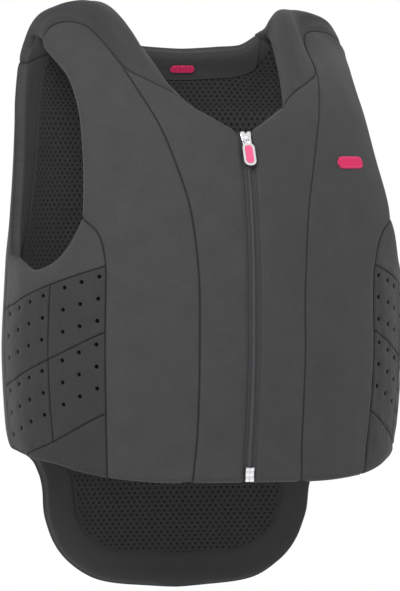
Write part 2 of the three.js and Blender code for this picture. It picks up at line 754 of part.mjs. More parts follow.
// The back's places from the centre line out to the side, and which rows and columns bound the
// liner: it starts linerInset in from the edges and ends below the collar band
function backGrid() {
  const tail = tailEdge.map(({ turn, rise, drop }) => {
    return place(turn, rise * shoulderRise - drop * tailDrop);
  }).reverse();
  const toPlace = ({ turn, rise }) => place(turn, rise * shoulderRise);
  const top = [...neckNape.slice(1).reverse().map(toPlace), ...strapBackPlaces];
  const bottom = spread(0, tail.length - 1, top.length - 1).map((at) => {
    const low = Math.min(Math.floor(at), tail.length - 2);
    return place(
      THREE.MathUtils.lerp(tail[low].turn, tail[low + 1].turn, at - low),
      THREE.MathUtils.lerp(tail[low].height, tail[low + 1].height, at - low));
  });
  const breaks = [riseOf(hemEdge), riseOf(middleSlant), riseOf(upperSlant), riseOf(underarmEdge)];
  const seamHeights = [breaks[0], breaks[0] + edgeRun, breaks[0] + linerInset, breaks[1],
    ...between(breaks[1], breaks[2], 2), ...between(breaks[2], breaks[3], 2)];
  const armTop = riseOf(backArmhole);
  const armHeights = [...between(breaks[3], armTop - bandHeight, 4), armTop - edgeRun, armTop];
  const right = [
    ...seamHeights.map((height) => place(backSeamTurn, height)),
    ...armHeights.map(onBackArmhole),
  ];
  const tailEnd = bottom[0].height;
  const nape = top[0].height;
  const centre = [tailEnd, tailEnd + edgeRun, ...spread(tailEnd + linerInset, nape - bandHeight,
    right.length - 5), nape - edgeRun, nape];
  const left = centre.map((height) => place(180, height));
  const grid = fillGrid(bottom, top, left, right);
  const rows = grid.length - 1;
  const columns = grid[0].length - 1;
  const sewn = (edge, k) => (edge === 'top' && k >= neckNape.length - 1)
    || (edge === 'right' && k < seamHeights.length);
  const thin = (i, j) => j === 0 || (j === rows && !sewn('top', i))
    || (i === columns && !sewn('right', j));
  return { grid, rows, columns, sewn, thin };
}

const back = backGrid();

function backPanel() {
  const pair = drawBack(skins(back.grid, back), back.sewn).map(wholeBack);
  addPiece('back_panel', closedWall(pair, back.columns), shellCloth());
}

// A thin sheet on the inner face of the back, over some of its rows and columns
function innerSheet(name, { fromRow, toRow, columns, wall, seam, material }) {
  const grid = back.grid.slice(fromRow, toRow + 1).map((row) => row.slice(0, columns));
  const thin = (i, j) => back.thin(i, j + fromRow);
  const lies = padWall + layGap;
  const pair = skins(grid, { outer: lies, inner: lies + wall, thin, lining: true });
  addPiece(name, closedWall(drawBack(pair, (edge) => edge === seam).map(wholeBack)), material());
}

function backLiner() {
  innerSheet('back_liner', {
    fromRow: 2, toRow: back.rows - 2, columns: back.columns - 1, wall: linerWall, seam: 'top',
    material: linerMesh,
  });
}

function collarBand() {
  innerSheet('collar_band', {
    fromRow: back.rows - 2, toRow: back.rows, columns: neckNape.length + 1, wall: bandWall,
    seam: 'bottom', material: shellCloth,
  });
}

// A flat band on the front centre line, between two sides and two heights
function centreStrip(name, { from, to, sides, insets, material, wide = () => 1 }) {
  const layers = insets.map((inset) => spread(from, to, zipRows).map((height, j) => {
    return sides.map((x) => {
      const out = faceNormal(0, height);
      const point = facePoint(0, height).addScaledVector(out, -inset);
      point.x = x * wide(j);
      return point;
    });
  }));
  addPiece(name, closedWall(layers), material());
}

const zipTop = neckline[0].rise * shoulderRise;
const sliderMiddle = zipTop - sliderHeight / 2 - sliderDrop;
const tapeTop = zipTop - layGap;

function zipTapes() {
  const edge = zipChannel / 2 - layGap;
  const insets = [tapeInset, tapeInset + tapeWall];
  centreStrip('zip_tape_right', {
    from: 0, to: tapeTop, sides: [-edge, -layGap / 2], insets, material: tapeCloth,
  });
  centreStrip('zip_tape_left', {
    from: 0, to: tapeTop, sides: [layGap / 2, edge], insets, material: tapeCloth,
  });
}

// The closed coil: a ribbed strip in front of the tapes, from the bottom box to the slider
function zipTeeth() {
  const from = boxHeight + layGap;
  const to = sliderMiddle + sliderHeight / 4;
  const teeth = Math.round((to - from) / toothPitch);
  const places = spread(from, to, teeth * 2);
  const insets = [tapeInset - layGap - teethWall, tapeInset - layGap];
  const layers = insets.map((inset) => places.map((height, j) => {
    const half = teethWidth / 2 * (j % 2 ? toothWaist : 1);
    return [-half, half].map((x) => {
      const point = facePoint(0, height).addScaledVector(faceNormal(0, height), -inset);
      point.x = x;
      return point;
    });
  }));
  addPiece('zip_teeth', closedWall(layers), teethPlastic());
}

// Moves a geometry drawn flat, with -Y outward and +Z up the zip, onto the front centre line
function ontoFront(geometry, height) {
  const out = faceNormal(0, height);
  const tilt = new THREE.Matrix4().makeRotationX(Math.atan2(-out.z, -out.y));
  const spot = facePoint(0, height);
  return geometry.applyMatrix4(tilt).translate(0, spot.y, spot.z);
}

// A flat plate with rounded corners in the XZ plane, from one depth to another
function plate(width, low, high, near, far, radius, window = null) {
  const outline = (path, w, z0, z1, r) => {
    path.moveTo(-w / 2 + r, z0);
    path.lineTo(w / 2 - r, z0);
    path.absarc(w / 2 - r, z0 + r, r, -Math.PI / 2, 0);
    path.lineTo(w / 2, z1 - r);
    path.absarc(w / 2 - r, z1 - r, r, 0, Math.PI / 2);
    path.lineTo(-w / 2 + r, z1);
    path.absarc(-w / 2 + r, z1 - r, r, Math.PI / 2, Math.PI);
    path.lineTo(-w / 2, z0 + r);
    path.absarc(-w / 2 + r, z0 + r, r, Math.PI, Math.PI * 1.5);
    return path;
  };
  const shape = outline(new THREE.Shape(), width, low, high, radius);
  if (window) shape.holes.push(outline(new THREE.Path(), ...window));
  const geometry = new THREE.ExtrudeGeometry(shape, {
    depth: far - near, bevelEnabled: false, curveSegments: 3,
  });
  return geometry.rotateX(Math.PI / 2).translate(0, far, 0);
}

// Depths on the slider, counted inward from the front face
const sliderBack = tapeInset - layGap - teethWall - layGap;
const sliderFront = sliderBack - sliderWall;
const pullAxis = sliderFront - pullClearance - pullBarRadius;

function zipSlider() {
  const half = sliderHeight / 2;
  const body = plate(sliderWidth, -half, half, sliderFront, sliderBack, sliderWidth / 4);
  const reach = pullBarRadius + pullClearance;
  const arch = new THREE.Shape();
  const outer = reach + bridgeBar;
  arch.moveTo(sliderFront + sink, -outer);
  arch.lineTo(pullAxis, -outer);
  arch.absarc(pullAxis, 0, outer, -Math.PI / 2, -Math.PI * 1.5, true);
  arch.lineTo(sliderFront + sink, outer);
  arch.lineTo(sliderFront + sink, reach);
  arch.lineTo(pullAxis, reach);
  arch.absarc(pullAxis, 0, reach, Math.PI / 2, Math.PI * 1.5, false);
  arch.lineTo(sliderFront + sink, -reach);
  const bridge = new THREE.ExtrudeGeometry(arch, {
    depth: bridgeWidth, bevelEnabled: false, curveSegments: 5,
  });
  bridge.applyMatrix4(new THREE.Matrix4().makeBasis(
    new THREE.Vector3(0, 1, 0), new THREE.Vector3(0, 0, 1), new THREE.Vector3(1, 0, 0)));
  bridge.translate(-bridgeWidth / 2, 0, 0);
  const whole = toGeometry(toSolid(body).add(toSolid(bridge)));
  addPiece('zip_slider', ontoFront(whole, sliderMiddle), zipMetal());
}

// The pull tab: a rim with a bar through the bridge, and a soft insert in its window
function zipPull() {
  const near = pullAxis - pullWall / 2;
  const far = pullAxis + pullWall / 2;
  const shoulder = -(pullBarRadius + pullClearance + bridgeBar) * pullReach;
  const low = shoulder - pullLength;
  const inside = pullWidth - 2 * pullRim;
  const window = [inside, low + pullRim, shoulder - pullRim, inside / 2.2];
  const rim = plate(pullWidth, low, shoulder, near, far, pullWidth / 2.4, window);
  const armInner = bridgeWidth / 2 + pullClearance;
  const armOuter = armInner + pullRim;
  let solid = toSolid(rim);
  for (const way of [-1, 1]) {
    const arm = new THREE.BoxGeometry(pullRim, pullWall * 0.95, -shoulder + pullRim / 2);
    arm.translate(way * (armInner + pullRim / 2), pullAxis, (shoulder - pullRim / 2) / 2);
    solid = solid.add(toSolid(arm));
  }
  const bar = new THREE.CylinderGeometry(pullBarRadius, pullBarRadius, armOuter * 2, 8);
  bar.rotateZ(Math.PI / 2).translate(0, pullAxis, 0);
  solid = solid.add(toSolid(bar));
  addPiece('zip_pull', ontoFront(toGeometry(solid), sliderMiddle), zipMetal());
  const [width, z0, z1, radius] = window;
  const insert = plate(width - 2 * layGap, z0 + layGap, z1 - layGap, near - insertProud,
    far, radius - layGap);
  addPiece('pull_insert', ontoFront(insert, sliderMiddle), crimsonRubber());
}

function zipBox() {
  const back = tapeInset - layGap;
  const box = plate(boxWidth, -boxHeight / 2, boxHeight / 2, back - boxWall, back, boxWidth / 6);
  addPiece('zip_box', ontoFront(box, boxHeight / 2), zipMetal());
}

// A plain round-ended tab lying on a face
function tab(name, { turn, height, width, tall, insets }) {
  const steps = 8;
  const mmPerTurn = facePoint(turn + 1, height).distanceTo(facePoint(turn, height));
  const layers = insets.map((inset) => spread(-1, 1, 2).map((v) => spread(-1, 1, steps).map((u) => {
    const end = Math.max(Math.abs(u) * width / 2 - (width - tall) / 2, 0) / (tall / 2);
    const half = tall / 2 * Math.sqrt(Math.max(1 - end * end, tabTip));
    const at = place(turn + u * width / 2 / mmPerTurn, height + v * half);
    return facePoint(at.turn, at.height).addScaledVector(faceNormal(at.turn, at.height), -inset);
  })));
  addPiece(name, closedWall(layers), crimsonCloth());
}

for (const side of [-1, 1]) {
  frontPanels(side);
  shoulderYoke(side);
  sidePanels(side);
}
backPanel();
backLiner();
collarBand();
zipTapes();
zipTeeth();
zipSlider();
zipPull();
zipBox();
tab('chest_tab', {
  turn: chestTabTurn, height: chestTabRise * shoulderRise,
  width: chestTabWidth, tall: chestTabHeight, insets: [-layGap - tabWall, -layGap],
});
const onBand = padWall + layGap * 2 + bandWall + tabStand;
tab('collar_tab', {
  turn: 180, height: riseOf(neckNape) - bandHeight / 2,
  width: collarTabWidth, tall: collarTabHeight, insets: [onBand, onBand + tabWall],
});

export default vest;
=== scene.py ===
# Body protector: the look of the padded vest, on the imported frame.
# Shapes are worked out in millimetres above the front hem and turned into metres in the frame.
import bmesh
import bpy
import math
import numpy as np
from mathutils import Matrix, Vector


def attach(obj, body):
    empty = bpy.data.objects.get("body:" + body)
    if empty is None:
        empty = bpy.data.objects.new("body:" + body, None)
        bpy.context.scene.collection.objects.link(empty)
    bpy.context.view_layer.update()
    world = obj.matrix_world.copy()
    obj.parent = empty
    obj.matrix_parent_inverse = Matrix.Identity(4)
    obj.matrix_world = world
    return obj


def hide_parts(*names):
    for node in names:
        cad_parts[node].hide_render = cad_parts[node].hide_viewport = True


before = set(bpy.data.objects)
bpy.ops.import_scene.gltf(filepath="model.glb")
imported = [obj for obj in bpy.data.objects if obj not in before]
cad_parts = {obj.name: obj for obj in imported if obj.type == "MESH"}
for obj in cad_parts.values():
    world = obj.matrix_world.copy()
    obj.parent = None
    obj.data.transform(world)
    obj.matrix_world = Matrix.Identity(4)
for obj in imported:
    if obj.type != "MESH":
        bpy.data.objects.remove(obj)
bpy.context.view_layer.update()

# Sizes and tables of the frame
WIDTH, FRONT, BACK, RISE, DROP = 432.0, 153.0, 105.0, 505.0, 121.5
HALF = WIDTH / 2
WALL, EDGE_WALL, EDGE_RUN = 16.0, 9.0, 13.0
CORNER = 9.0
BLEND_FROM, BLEND_TO = 55, 125
BACK_ROUND = 3.2
TAIL_WIDER = 0.04
MID_TURN, HEM_TURN, BACK_TURN = 66.0, 84.0, 97.0
NECK_SHARE, ARM_SHARE = 0.222, 0.779
STRAP_SWAY, SWAY_END = (8.0, 14.0, -2.5), 0.425
VENT_RADIUS, VENT_PITCH, VENT_RISE, VENT_MARGIN = 2.3, 20, 23, 9
ORIGIN = RISE - WALL
ZIP_HALF = 7.5
LINER_INSET = 32.0
BAND = 30.0
MM = 0.001


def table(names, rows):
    return dict(zip(names.split(), np.array(rows, float).T))


SECTIONS = table("rise front_wide back_wide front back centre", [
    (0, 0.94, 0.955, 0.9, 1, 0), (0.06, 0.957, 0.968, 0.925, 0.99, 0),
    (0.14, 0.98, 0.985, 0.965, 0.98, 0), (0.26, 1, 1, 1, 0.97, 0),
    (0.36, 0.995, 0.996, 1, 0.96, 0), (0.46, 0.975, 0.985, 0.995, 0.95, 0),
    (0.56, 0.942, 0.97, 0.965, 0.94, 0.005), (0.65, 0.915, 0.957, 0.925, 0.92, 0.03),
    (0.74, 0.895, 0.953, 0.865, 0.82, 0.08), (0.79, 0.88, 0.95, 0.8, 0.75, 0.13),
    (0.865, 0.85, 0.94, 0.66, 0.5, 0.235), (0.92, 0.815, 0.925, 0.4, 0.22, 0.32),
    (0.97, 0.8, 0.91, 0.13, 0.06, 0.375)])
TAIL = table("drop back", [(0, 1.0), (0.5, 1.0), (0.8, 0.95), (1.0, 0.87)])
PRINCESS = table("turn rise", [
    (17.4, 0), (16.2, 0.1), (15.8, 0.3), (16.2, 0.42), (18.8, 0.56), (22.6, 0.65), (27.4, 0.74),
    (36.8, 0.865)])
SIDE_SEAM = table("turn rise", [
    (45.0, 0), (44.2, 0.2), (44.4, 0.4), (45.4, 0.465), (48.5, 0.515), (55.0, 0.547)])
FRONT_ARM = table("turn rise", [
    (55.0, 0.547), (55.4, 0.6), (56.2, 0.7), (57.2, 0.78), (60.5, 0.845), (66.0, 0.885),
    (73.0, 0.917)])
BACK_ARM = table("turn rise", [
    (97.0, 0.468), (103.0, 0.527), (109.5, 0.65), (115.0, 0.79), (118.0, 0.871)])
UNDERARM = table("turn rise", [
    (55, 0.547), (57, 0.518), (60, 0.486), (65, 0.457), (72, 0.44), (79, 0.437), (88, 0.45),
    (97, 0.468)])
UPPER = table("turn rise", [(44.4, 0.448), (66, 0.408), (97, 0.352)])
MIDDLE = table("turn rise", [(44.4, 0.31), (66, 0.253), (97, 0.192)])
LOWER = table("turn rise", [(44.6, 0.142), (66, 0.082), (84, 0.053)])
HEM = table("turn rise", [
    (0, 0), (27, 0), (45, 0.01), (57, 0.023), (66, 0.036), (84, 0.05), (97, 0.074)])
TAIL_EDGE = table("turn rise drop", [
    (97, 0.074, 0), (110, 0.062, 0), (124, 0.052, 0), (136, 0.03, 0), (142, 0, 0.1),
    (145.6, 0, 0.34), (150, 0, 0.58), (156.5, 0, 0.77), (166, 0, 0.93), (180, 0, 1)])
NAPE = table("turn rise", [(166, 0.945), (171, 0.917), (180, 0.905)])
NECKLINE = table("side rise", [(0.035, 0.727), (0.08, 0.737), (0.155, 0.757), (0.222, 0.775)])
STRAP = table("side rise", [
    (0.222, 0.775), (0.31, 0.806), (0.425, 0.836), (0.507, 0.865), (0.532, 0.912),
    (0.562, 0.942), (0.6, 0.953), (0.64, 0.956), (0.68, 0.955), (0.715, 0.95), (0.75, 0.938),
    (0.779, 0.917)])
RIDGE = table("front side depth rise arch", [
    (0.222, 0.385, 0.38, 0.952, 0.25), (0.31, 0.425, 0.44, 0.978, 0.6),
    (0.425, 0.47, 0.48, 0.996, 0.9), (0.507, 0.52, 0.5, 1.0, 1.0), (0.562, 0.585, 0.51, 0.999, 1.0),
    (0.64, 0.665, 0.52, 0.991, 1.0), (0.715, 0.745, 0.52, 0.974, 1.0),
    (0.779, 0.815, 0.51, 0.936, 1.0)])
STRAP_BACK = table("front turn rise", [
    (0.222, 166, 0.945), (0.507, 149, 0.916), (0.64, 134, 0.895), (0.779, 118, 0.871)])


def follow(rows, place, at, column):
    """Smooth curve through a table's rows."""
    xs, ys = rows[place], rows[column]
    at = np.asarray(at, float)
    slope = np.empty(len(xs))
    slope[1:-1] = (ys[2:] - ys[:-2]) / (xs[2:] - xs[:-2])
    slope[0] = (ys[1] - ys[0]) / (xs[1] - xs[0])
    slope[-1] = (ys[-1] - ys[-2]) / (xs[-1] - xs[-2])
    row = np.searchsorted(xs[1:-1], at, side="left")
    span = xs[row + 1] - xs[row]
    u = np.clip((at - xs[row]) / span, 0, 1)
    return ((1 + 2 * u) * (1 - u) ** 2 * ys[row] + u * (1 - u) ** 2 * span * slope[row]
            + u * u * (3 - 2 * u) * ys[row + 1] + u * u * (u - 1) * span * slope[row + 1])


def smooth(x, low, high):
    t = np.clip((x - low) / (high - low), 0, 1)
    return t * t * (3 - 2 * t)


def face_point(turn, height):
    turn, height = np.broadcast_arrays(np.asarray(turn, float), np.asarray(height, float))
    rise = np.maximum(height, 0) / RISE
    drop = np.maximum(-height, 0) / DROP
    front_wide, back_wide, front, back, centre = (
        follow(SECTIONS, "rise", rise, c)
        for c in ("front_wide", "back_wide", "front", "back", "centre"))
    back = back * follow(TAIL, "drop", drop, "back") * BACK
    is_front = np.abs(turn) < 90
    power = np.where(is_front, 1.0, 2 / BACK_ROUND)
    blend = smooth(np.abs(turn), BLEND_FROM, BLEND_TO)
    wider = 1 + TAIL_WIDER * smooth(drop, 0, 0.4)
    wide = (front_wide + (back_wide - front_wide) * blend) * HALF * wider
    sine, cosine = np.sin(np.radians(turn)), np.abs(np.cos(np.radians(turn))) ** power
    return np.stack([wide * np.sign(sine) * np.abs(sine) ** power,
                     centre * FRONT + np.where(is_front, -front * FRONT, back) * cosine,
                     height], -1)


# The way round the body in millimetres, so that a grid's cells are even
_turns = np.linspace(0, 180, 7201)
_ring = face_point(_turns, 200.0)
_arc = np.concatenate([[0], np.cumsum(np.linalg.norm(np.diff(_ring, axis=0), axis=1))])
ROUND = _arc[-1]


def way_of(turn):
    return np.interp(turn, _turns, _arc)


def turn_of(way):
    size = np.abs(way)
    turn = np.interp(np.where(size > ROUND, 2 * ROUND - size, size), _arc, _turns)
    return np.sign(way) * np.where(size > ROUND, 360 - turn, turn)


def surface(places):
    return face_point(turn_of(places[..., 0]), places[..., 1])


def normals(places):
    step = np.array([1.5, 0.0])
    rise = np.array([0.0, 1.5])
    around = surface(places + step) - surface(places - step)
    up = surface(places + rise) - surface(places - rise)
    n = np.cross(around, up)
    return n / np.linalg.norm(n, axis=-1, keepdims=True)


def turn_at_side(side, height):
    wide = follow(SECTIONS, "rise", np.maximum(height, 0) / RISE, "front_wide") * HALF
    return np.degrees(np.arcsin(np.minimum(side / wide, 1)))


def places(turn, height):
    turn, height = np.broadcast_arrays(np.asarray(turn, float), np.asarray(height, float))
    return np.stack([way_of(turn), height], -1)


def up_seam(rows, low, high, count=60):
    height = np.linspace(low, high, count)
    return places(follow(rows, "rise", height / RISE, "turn"), height)


def along(rows, low, high, count=60):
    turn = np.linspace(low, high, count)
    return places(turn, follow(rows, "turn", turn, "rise") * RISE)


def upright(turn, low, high):
    return places(turn, np.linspace(low, high, 30))


def on_front(rows, low, high, count=40):
    side = np.linspace(low, high, count)
    height = follow(rows, "side", side, "rise") * RISE
    return places(turn_at_side(side * HALF, height), height)


def shares(count, ends=0.0):
    """Shares from 0 to 1, closer together near both ends."""
    t = np.linspace(0, 1, count)
    return (1 - ends) * t + ends * (1 - np.cos(np.pi * t)) / 2


def at_shares(line, share):
    run = np.concatenate([[0], np.cumsum(np.linalg.norm(np.diff(line, axis=0), axis=1))])
    return np.stack([np.interp(share * run[-1], run, line[:, k]) for k in (0, 1)], -1)


def even(line, count):
    """The same line with evenly spaced points."""
    return at_shares(line, np.linspace(0, 1, count))


def length(line):
    return np.linalg.norm(np.diff(line, axis=0), axis=1).sum()


def join(*lines):
    return np.concatenate([lines[0]] + [line[1:] for line in lines[1:]])


def fill(bottom, top, left, right, step, ends=0.6, open_left=False):
    """A grid of places between four edges. open_left is a side where the grid is mirrored."""
    across = max(int(max(length(bottom), length(top)) / step), 4) + 1
    up = max(int(max(length(left), length(right)) / step), 4) + 1
    a = shares(across, ends)
    if open_left:
        a = shares(2 * across - 1, ends)[across - 1:] * 2 - 1
    b = shares(up, ends)
    bottom, top = at_shares(bottom, a), at_shares(top, a)
    left, right = at_shares(left, b), at_shares(right, b)
    a, b = a[None, :, None], b[:, None, None]
    edges = (1 - b) * bottom[None] + b * top[None] + (1 - a) * left[:, None] + a * right[:, None]
    return edges - ((1 - a) * (1 - b) * bottom[0] + a * (1 - b) * bottom[-1]
                    + (1 - a) * b * top[0] + a * b * top[-1])


# Noise
_lattice = np.random.RandomState(11).rand(97, 89) * 2 - 1


def noise(x, y):
    i, j = np.floor(x).astype(int), np.floor(y).astype(int)
    u, v = x - i, y - j
    u, v = u * u * (3 - 2 * u), v * v * (3 - 2 * v)
    at = lambda a, b: _lattice[a % 97, b % 89]
    return ((1 - v) * ((1 - u) * at(i, j) + u * at(i + 1, j))
            + v * ((1 - u) * at(i, j + 1) + u * at(i + 1, j + 1)))


# Materials
def tree_of(name):
    mat = bpy.data.materials.new(name)
    mat.use_nodes = True
    tree = mat.node_tree
    return mat, Kit(tree.nodes, tree.links), tree.nodes["Principled BSDF"]


class Kit:
    """Short names for shader nodes."""

    def __init__(self, nodes, links):
        self.nodes, self.links = nodes, links

    def put(self, socket, value):
        if hasattr(value, "is_output"):
            self.links.new(value, socket)
        elif value is not None:
            socket.default_value = value

    def math(self, op, a, b=None, c=None):
        n = self.nodes.new("ShaderNodeMath")
        n.operation = op
        for k, v in enumerate((a, b, c)):
            self.put(n.inputs[k], v)
        return n.outputs[0]

    def times(self, a, b):
        return self.math("MULTIPLY", a, b)

    def plus(self, a, b):
        return self.math("ADD", a, b)

    def minus(self, a, b):
        return self.math("SUBTRACT", a, b)

    def over(self, a, b):
        return self.math("DIVIDE", a, b)

    def fract(self, a):
        return self.math("FRACT", a)

    def ramp(self, value, low, high, out_low=0.0, out_high=1.0):
        n = self.nodes.new("ShaderNodeMapRange")
        n.interpolation_type = "SMOOTHSTEP"
        for k, v in enumerate((value, low, high, out_low, out_high)):
            self.put(n.inputs[k], v)
        return n.outputs[0]

    def attribute(self, name):
        n = self.nodes.new("ShaderNodeAttribute")
        n.attribute_name = name
        return n.outputs["Fac"]

    def uv(self):
        n = self.nodes.new("ShaderNodeUVMap")
        n.uv_map = "cloth"
        s = self.nodes.new("ShaderNodeSeparateXYZ")
        self.links.new(n.outputs[0], s.inputs[0])
        return n.outputs[0], s.outputs[0], s.outputs[1]

    def spot(self):
        return self.nodes.new("ShaderNodeTexCoord").outputs["Object"]

    def noise(self, vector, scale, detail=2.0, rough=0.5):
        n = self.nodes.new("ShaderNodeTexNoise")
        self.put(n.inputs["Vector"], vector)
        n.inputs["Scale"].default_value = scale
        n.inputs["Detail"].default_value = detail
        n.inputs["Roughness"].default_value = rough
        return n.outputs["Fac"]

    def tint(self, factor, dark, light):
        n = self.nodes.new("ShaderNodeMix")
        n.data_type = "RGBA"
        self.put(n.inputs["Factor"], factor)
        for key, value in (("A", dark), ("B", light)):
            self.put(n.inputs[key], (*value, 1) if isinstance(value, tuple) else value)
        return n.outputs["Result"]

    def scaled(self, colour, factor):
        n = self.nodes.new("ShaderNodeVectorMath")
        n.operation = "SCALE"
        self.put(n.inputs[0], colour)
        self.put(n.inputs["Scale"], factor)
        return n.outputs[0]

    def bump(self, height, distance, strength=1.0):
        n = self.nodes.new("ShaderNodeBump")
        n.inputs["Distance"].default_value = distance
        n.inputs["Strength"].default_value = strength
        self.put(n.inputs["Height"], height)
        return n.outputs[0]

    def stripes(self, value, pitch):
        """0 to 1 and back over each pitch."""
        return self.math("PINGPONG", self.math("DIVIDE", value, pitch / 2), 1.0)


def cloth(name, dark, light, holes=None, sheen=0.06, rough=0.84, stitch=(0.010, 0.010, 0.011),
          edge_light=1.03):
    """Fine knitted cloth with turned edges and stitched seams, painted shade along seams, and a
    painted highlight and a painted shade line along bound edges. holes adds the liner's
    perforation, further than that from a bound edge, with painted shade darkening the holes."""
    mat, kit, bsdf = tree_of(name)
    vector, x, y = kit.uv()
    bound, seam, run = kit.attribute("bound"), kit.attribute("seam"), kit.attribute("run")
    rib = kit.stripes(kit.plus(x, kit.times(y, 0.5)), 1.1)
    wale = kit.stripes(kit.minus(y, kit.times(x, 0.5)), 0.8)
    weave = kit.times(rib, wale)
    mottle = kit.noise(vector, 0.03, 3.0, 0.6)
    fibre = kit.noise(vector, 1.6, 2.0, 0.6)
    heather = kit.noise(vector, 0.42, 2.0, 0.7)
    shade = kit.plus(kit.times(mottle, 0.35), kit.times(fibre, 0.35))
    shade = kit.plus(shade, kit.times(heather, 0.55))
    shade = kit.plus(kit.times(weave, 0.3), kit.minus(shade, 0.25))
    colour = kit.tint(shade, dark, light)
    # painted shade: the colour is darkened within 1 mm of a seam, where the crevice between pads is
    # shaded
    painted_seam_shade = kit.ramp(seam, 0.1, 1.0, 0.42, 1.0)
    height = kit.plus(weave, kit.times(fibre, 0.6))
    # tape: a painted highlight, lifting the colour by edge_light within 2.4 mm of a bound edge
    tape = kit.ramp(bound, 2.4, 3.0, edge_light, 1.0)
    # edge: a painted shade line 3 mm in from bound edges, where a groove would be shaded
    edge = kit.ramp(kit.math("ABSOLUTE", kit.minus(bound, 3.0)), 0.0, 0.45, 0.8, 1.0)
    row = kit.ramp(kit.math("ABSOLUTE", kit.minus(seam, 0.9)), 0.3, 0.6, 1.0, 0.0)
    dash = kit.ramp(kit.fract(kit.over(run, 3.0)), 0.5, 0.6, 1.0, 0.0)
    thread = kit.times(row, dash)
    colour = kit.scaled(colour, kit.times(painted_seam_shade, kit.times(tape, edge)))
    colour = kit.tint(thread, colour, stitch)
    height = kit.plus(height, kit.times(thread, 2.5))
    if holes is not None:
        dots = perforation(kit, x, y)
        inside = kit.ramp(bound, holes, holes + 1.0)
        dots = kit.times(dots, inside)
        # the hole pattern and its bump are real; darkening the holes to a few percent of the cloth
        # is painted shade inside them
        colour = kit.scaled(colour, kit.minus(1.0, kit.times(dots, 0.93)))
        height = kit.minus(height, kit.times(dots, 8.0))
    kit.put(bsdf.inputs["Base Color"], colour)
    kit.put(bsdf.inputs["Roughness"], kit.ramp(fibre, 0.2, 0.8, rough - 0.06, rough + 0.08))
    bsdf.inputs["Sheen Weight"].default_value = sheen
    bsdf.inputs["Sheen Roughness"].default_value = 0.45
    bsdf.inputs["Specular IOR Level"].default_value = 0.3
    kit.put(bsdf.inputs["Normal"], kit.bump(height, 0.00016, 0.7))
    return mat


def perforation(kit, x, y, pitch=7.0, row=9.6, size=1.55):
    """1 in the holes of two staggered grids."""
    found = None
    for shift in (0.0, 0.5):
        u, v = (kit.times(kit.minus(kit.fract(kit.plus(kit.over(way, gap), 100 + shift)), 0.5), gap)
                for way, gap in ((x, pitch), (y, row)))
        away = kit.math("SQRT", kit.plus(kit.times(u, u), kit.times(v, v)))
        dot = kit.ramp(away, size * 0.75, size * 1.15, 1.0, 0.0)
        found = dot if found is None else kit.math("MAXIMUM", found, dot)
    return found


def hard(name, dark, light, rough, scale, bump, metallic=0.0, coat=0.0):
    """Metal or plastic with a fine grain."""
    mat, kit, bsdf = tree_of(name)
    grain = kit.noise(kit.spot(), scale, 3.0, 0.6 if metallic else 0.55)
    kit.put(bsdf.inputs["Base Color"], kit.tint(grain, dark, light))
    kit.put(bsdf.inputs["Roughness"], kit.ramp(grain, 0.2, 0.8, rough - 0.08, rough + 0.08))
    bsdf.inputs["Metallic"].default_value = metallic
    bsdf.inputs["Coat Weight"].default_value = coat
    kit.put(bsdf.inputs["Normal"], kit.bump(grain, bump, 0.4))
    return mat


SHELL = cloth("shell_knit", (0.014, 0.014, 0.015), (0.049, 0.049, 0.051))
SIDE = cloth("side_knit", (0.009, 0.009, 0.010), (0.034, 0.034, 0.036))
YOKE = cloth("yoke_knit", (0.013, 0.013, 0.014), (0.041, 0.041, 0.043))
LINER = cloth("liner_mesh_cloth", (0.018, 0.018, 0.019), (0.036, 0.036, 0.038), holes=30.0)
LINER_SHEET = cloth("liner_sheet_mesh", (0.013, 0.013, 0.014), (0.036, 0.036, 0.038), holes=2.5)
BORDER = cloth("border_knit", (0.020, 0.020, 0.021), (0.043, 0.043, 0.045))
TAPE = cloth("zip_tape_weave", (0.026, 0.026, 0.028), (0.052, 0.052, 0.055))
ACCENT = cloth("accent_knit", (0.40, 0.008, 0.060), (0.58, 0.016, 0.100),
               stitch=(0.66, 0.04, 0.15))
COIL = hard("zip_coil_nylon", (0.020, 0.020, 0.022), (0.045, 0.045, 0.048), 0.42, 700, 0.00004)
SILVER = hard("zip_silver", (0.6708, 0.6708, 0.688), (0.78, 0.78, 0.80), 0.25, 900, 0.00003,
              metallic=1.0)
RUBBER = hard("pull_insert_rubber", (0.62, 0.045, 0.13), (0.78, 0.085, 0.20), 0.38, 700, 0.00004,
              coat=0.2)


# Meshes
SETTLE_OUT, SETTLE_DOWN, SETTLE_HEIGHT = 15.0, 8.5, 275


def settled(points):
    """The wearer's left side hangs a little lower and rounder, as it does in the photograph."""
    x, _, z = points.T
    down = smooth(z, 380, 470) * smooth(x, 40, 100)
    spread = np.where(z > SETTLE_HEIGHT, 72.0, 50.0)
    out = np.exp(-((z - SETTLE_HEIGHT) / spread) ** 2) * smooth(x, 110, 180)
    return points + np.stack([SETTLE_OUT * out, np.zeros(len(x)), -SETTLE_DOWN * down], -1)


def build(name, points, faces, mats, slots=None, attributes=None, uv=None, sharp=40):
    """A mesh object from points in millimetres."""
    mesh = bpy.data.meshes.new(name)
    points = settled(np.asarray(points, float))
    points[:, 2] -= ORIGIN
    mesh.from_pydata((points * MM).tolist(), [], [list(map(int, f)) for f in faces])
    for key, values in (attributes or {}).items():
        layer = mesh.attributes.new(key, "FLOAT", "POINT")
        layer.data.foreach_set("value", np.asarray(values, np.float32))
    if uv is not None:
        layer = mesh.uv_layers.new(name="cloth")
        corner = np.empty(len(mesh.loops), np.int32)
        mesh.loops.foreach_get("vertex_index", corner)
        layer.data.foreach_set("uv", np.asarray(uv, np.float32)[corner].ravel())
    for mat in mats:
        mesh.materials.append(mat)
    if slots is not None:
        mesh.polygons.foreach_set("material_index", np.asarray(slots, np.int32))
    mesh.polygons.foreach_set("use_smooth", np.ones(len(mesh.polygons), bool))
    mesh.update()
    mesh.validate()
    mesh.set_sharp_from_angle(angle=math.radians(sharp))
    obj = bpy.data.objects.new(name, mesh)
    bpy.context.scene.collection.objects.link(obj)
    return obj


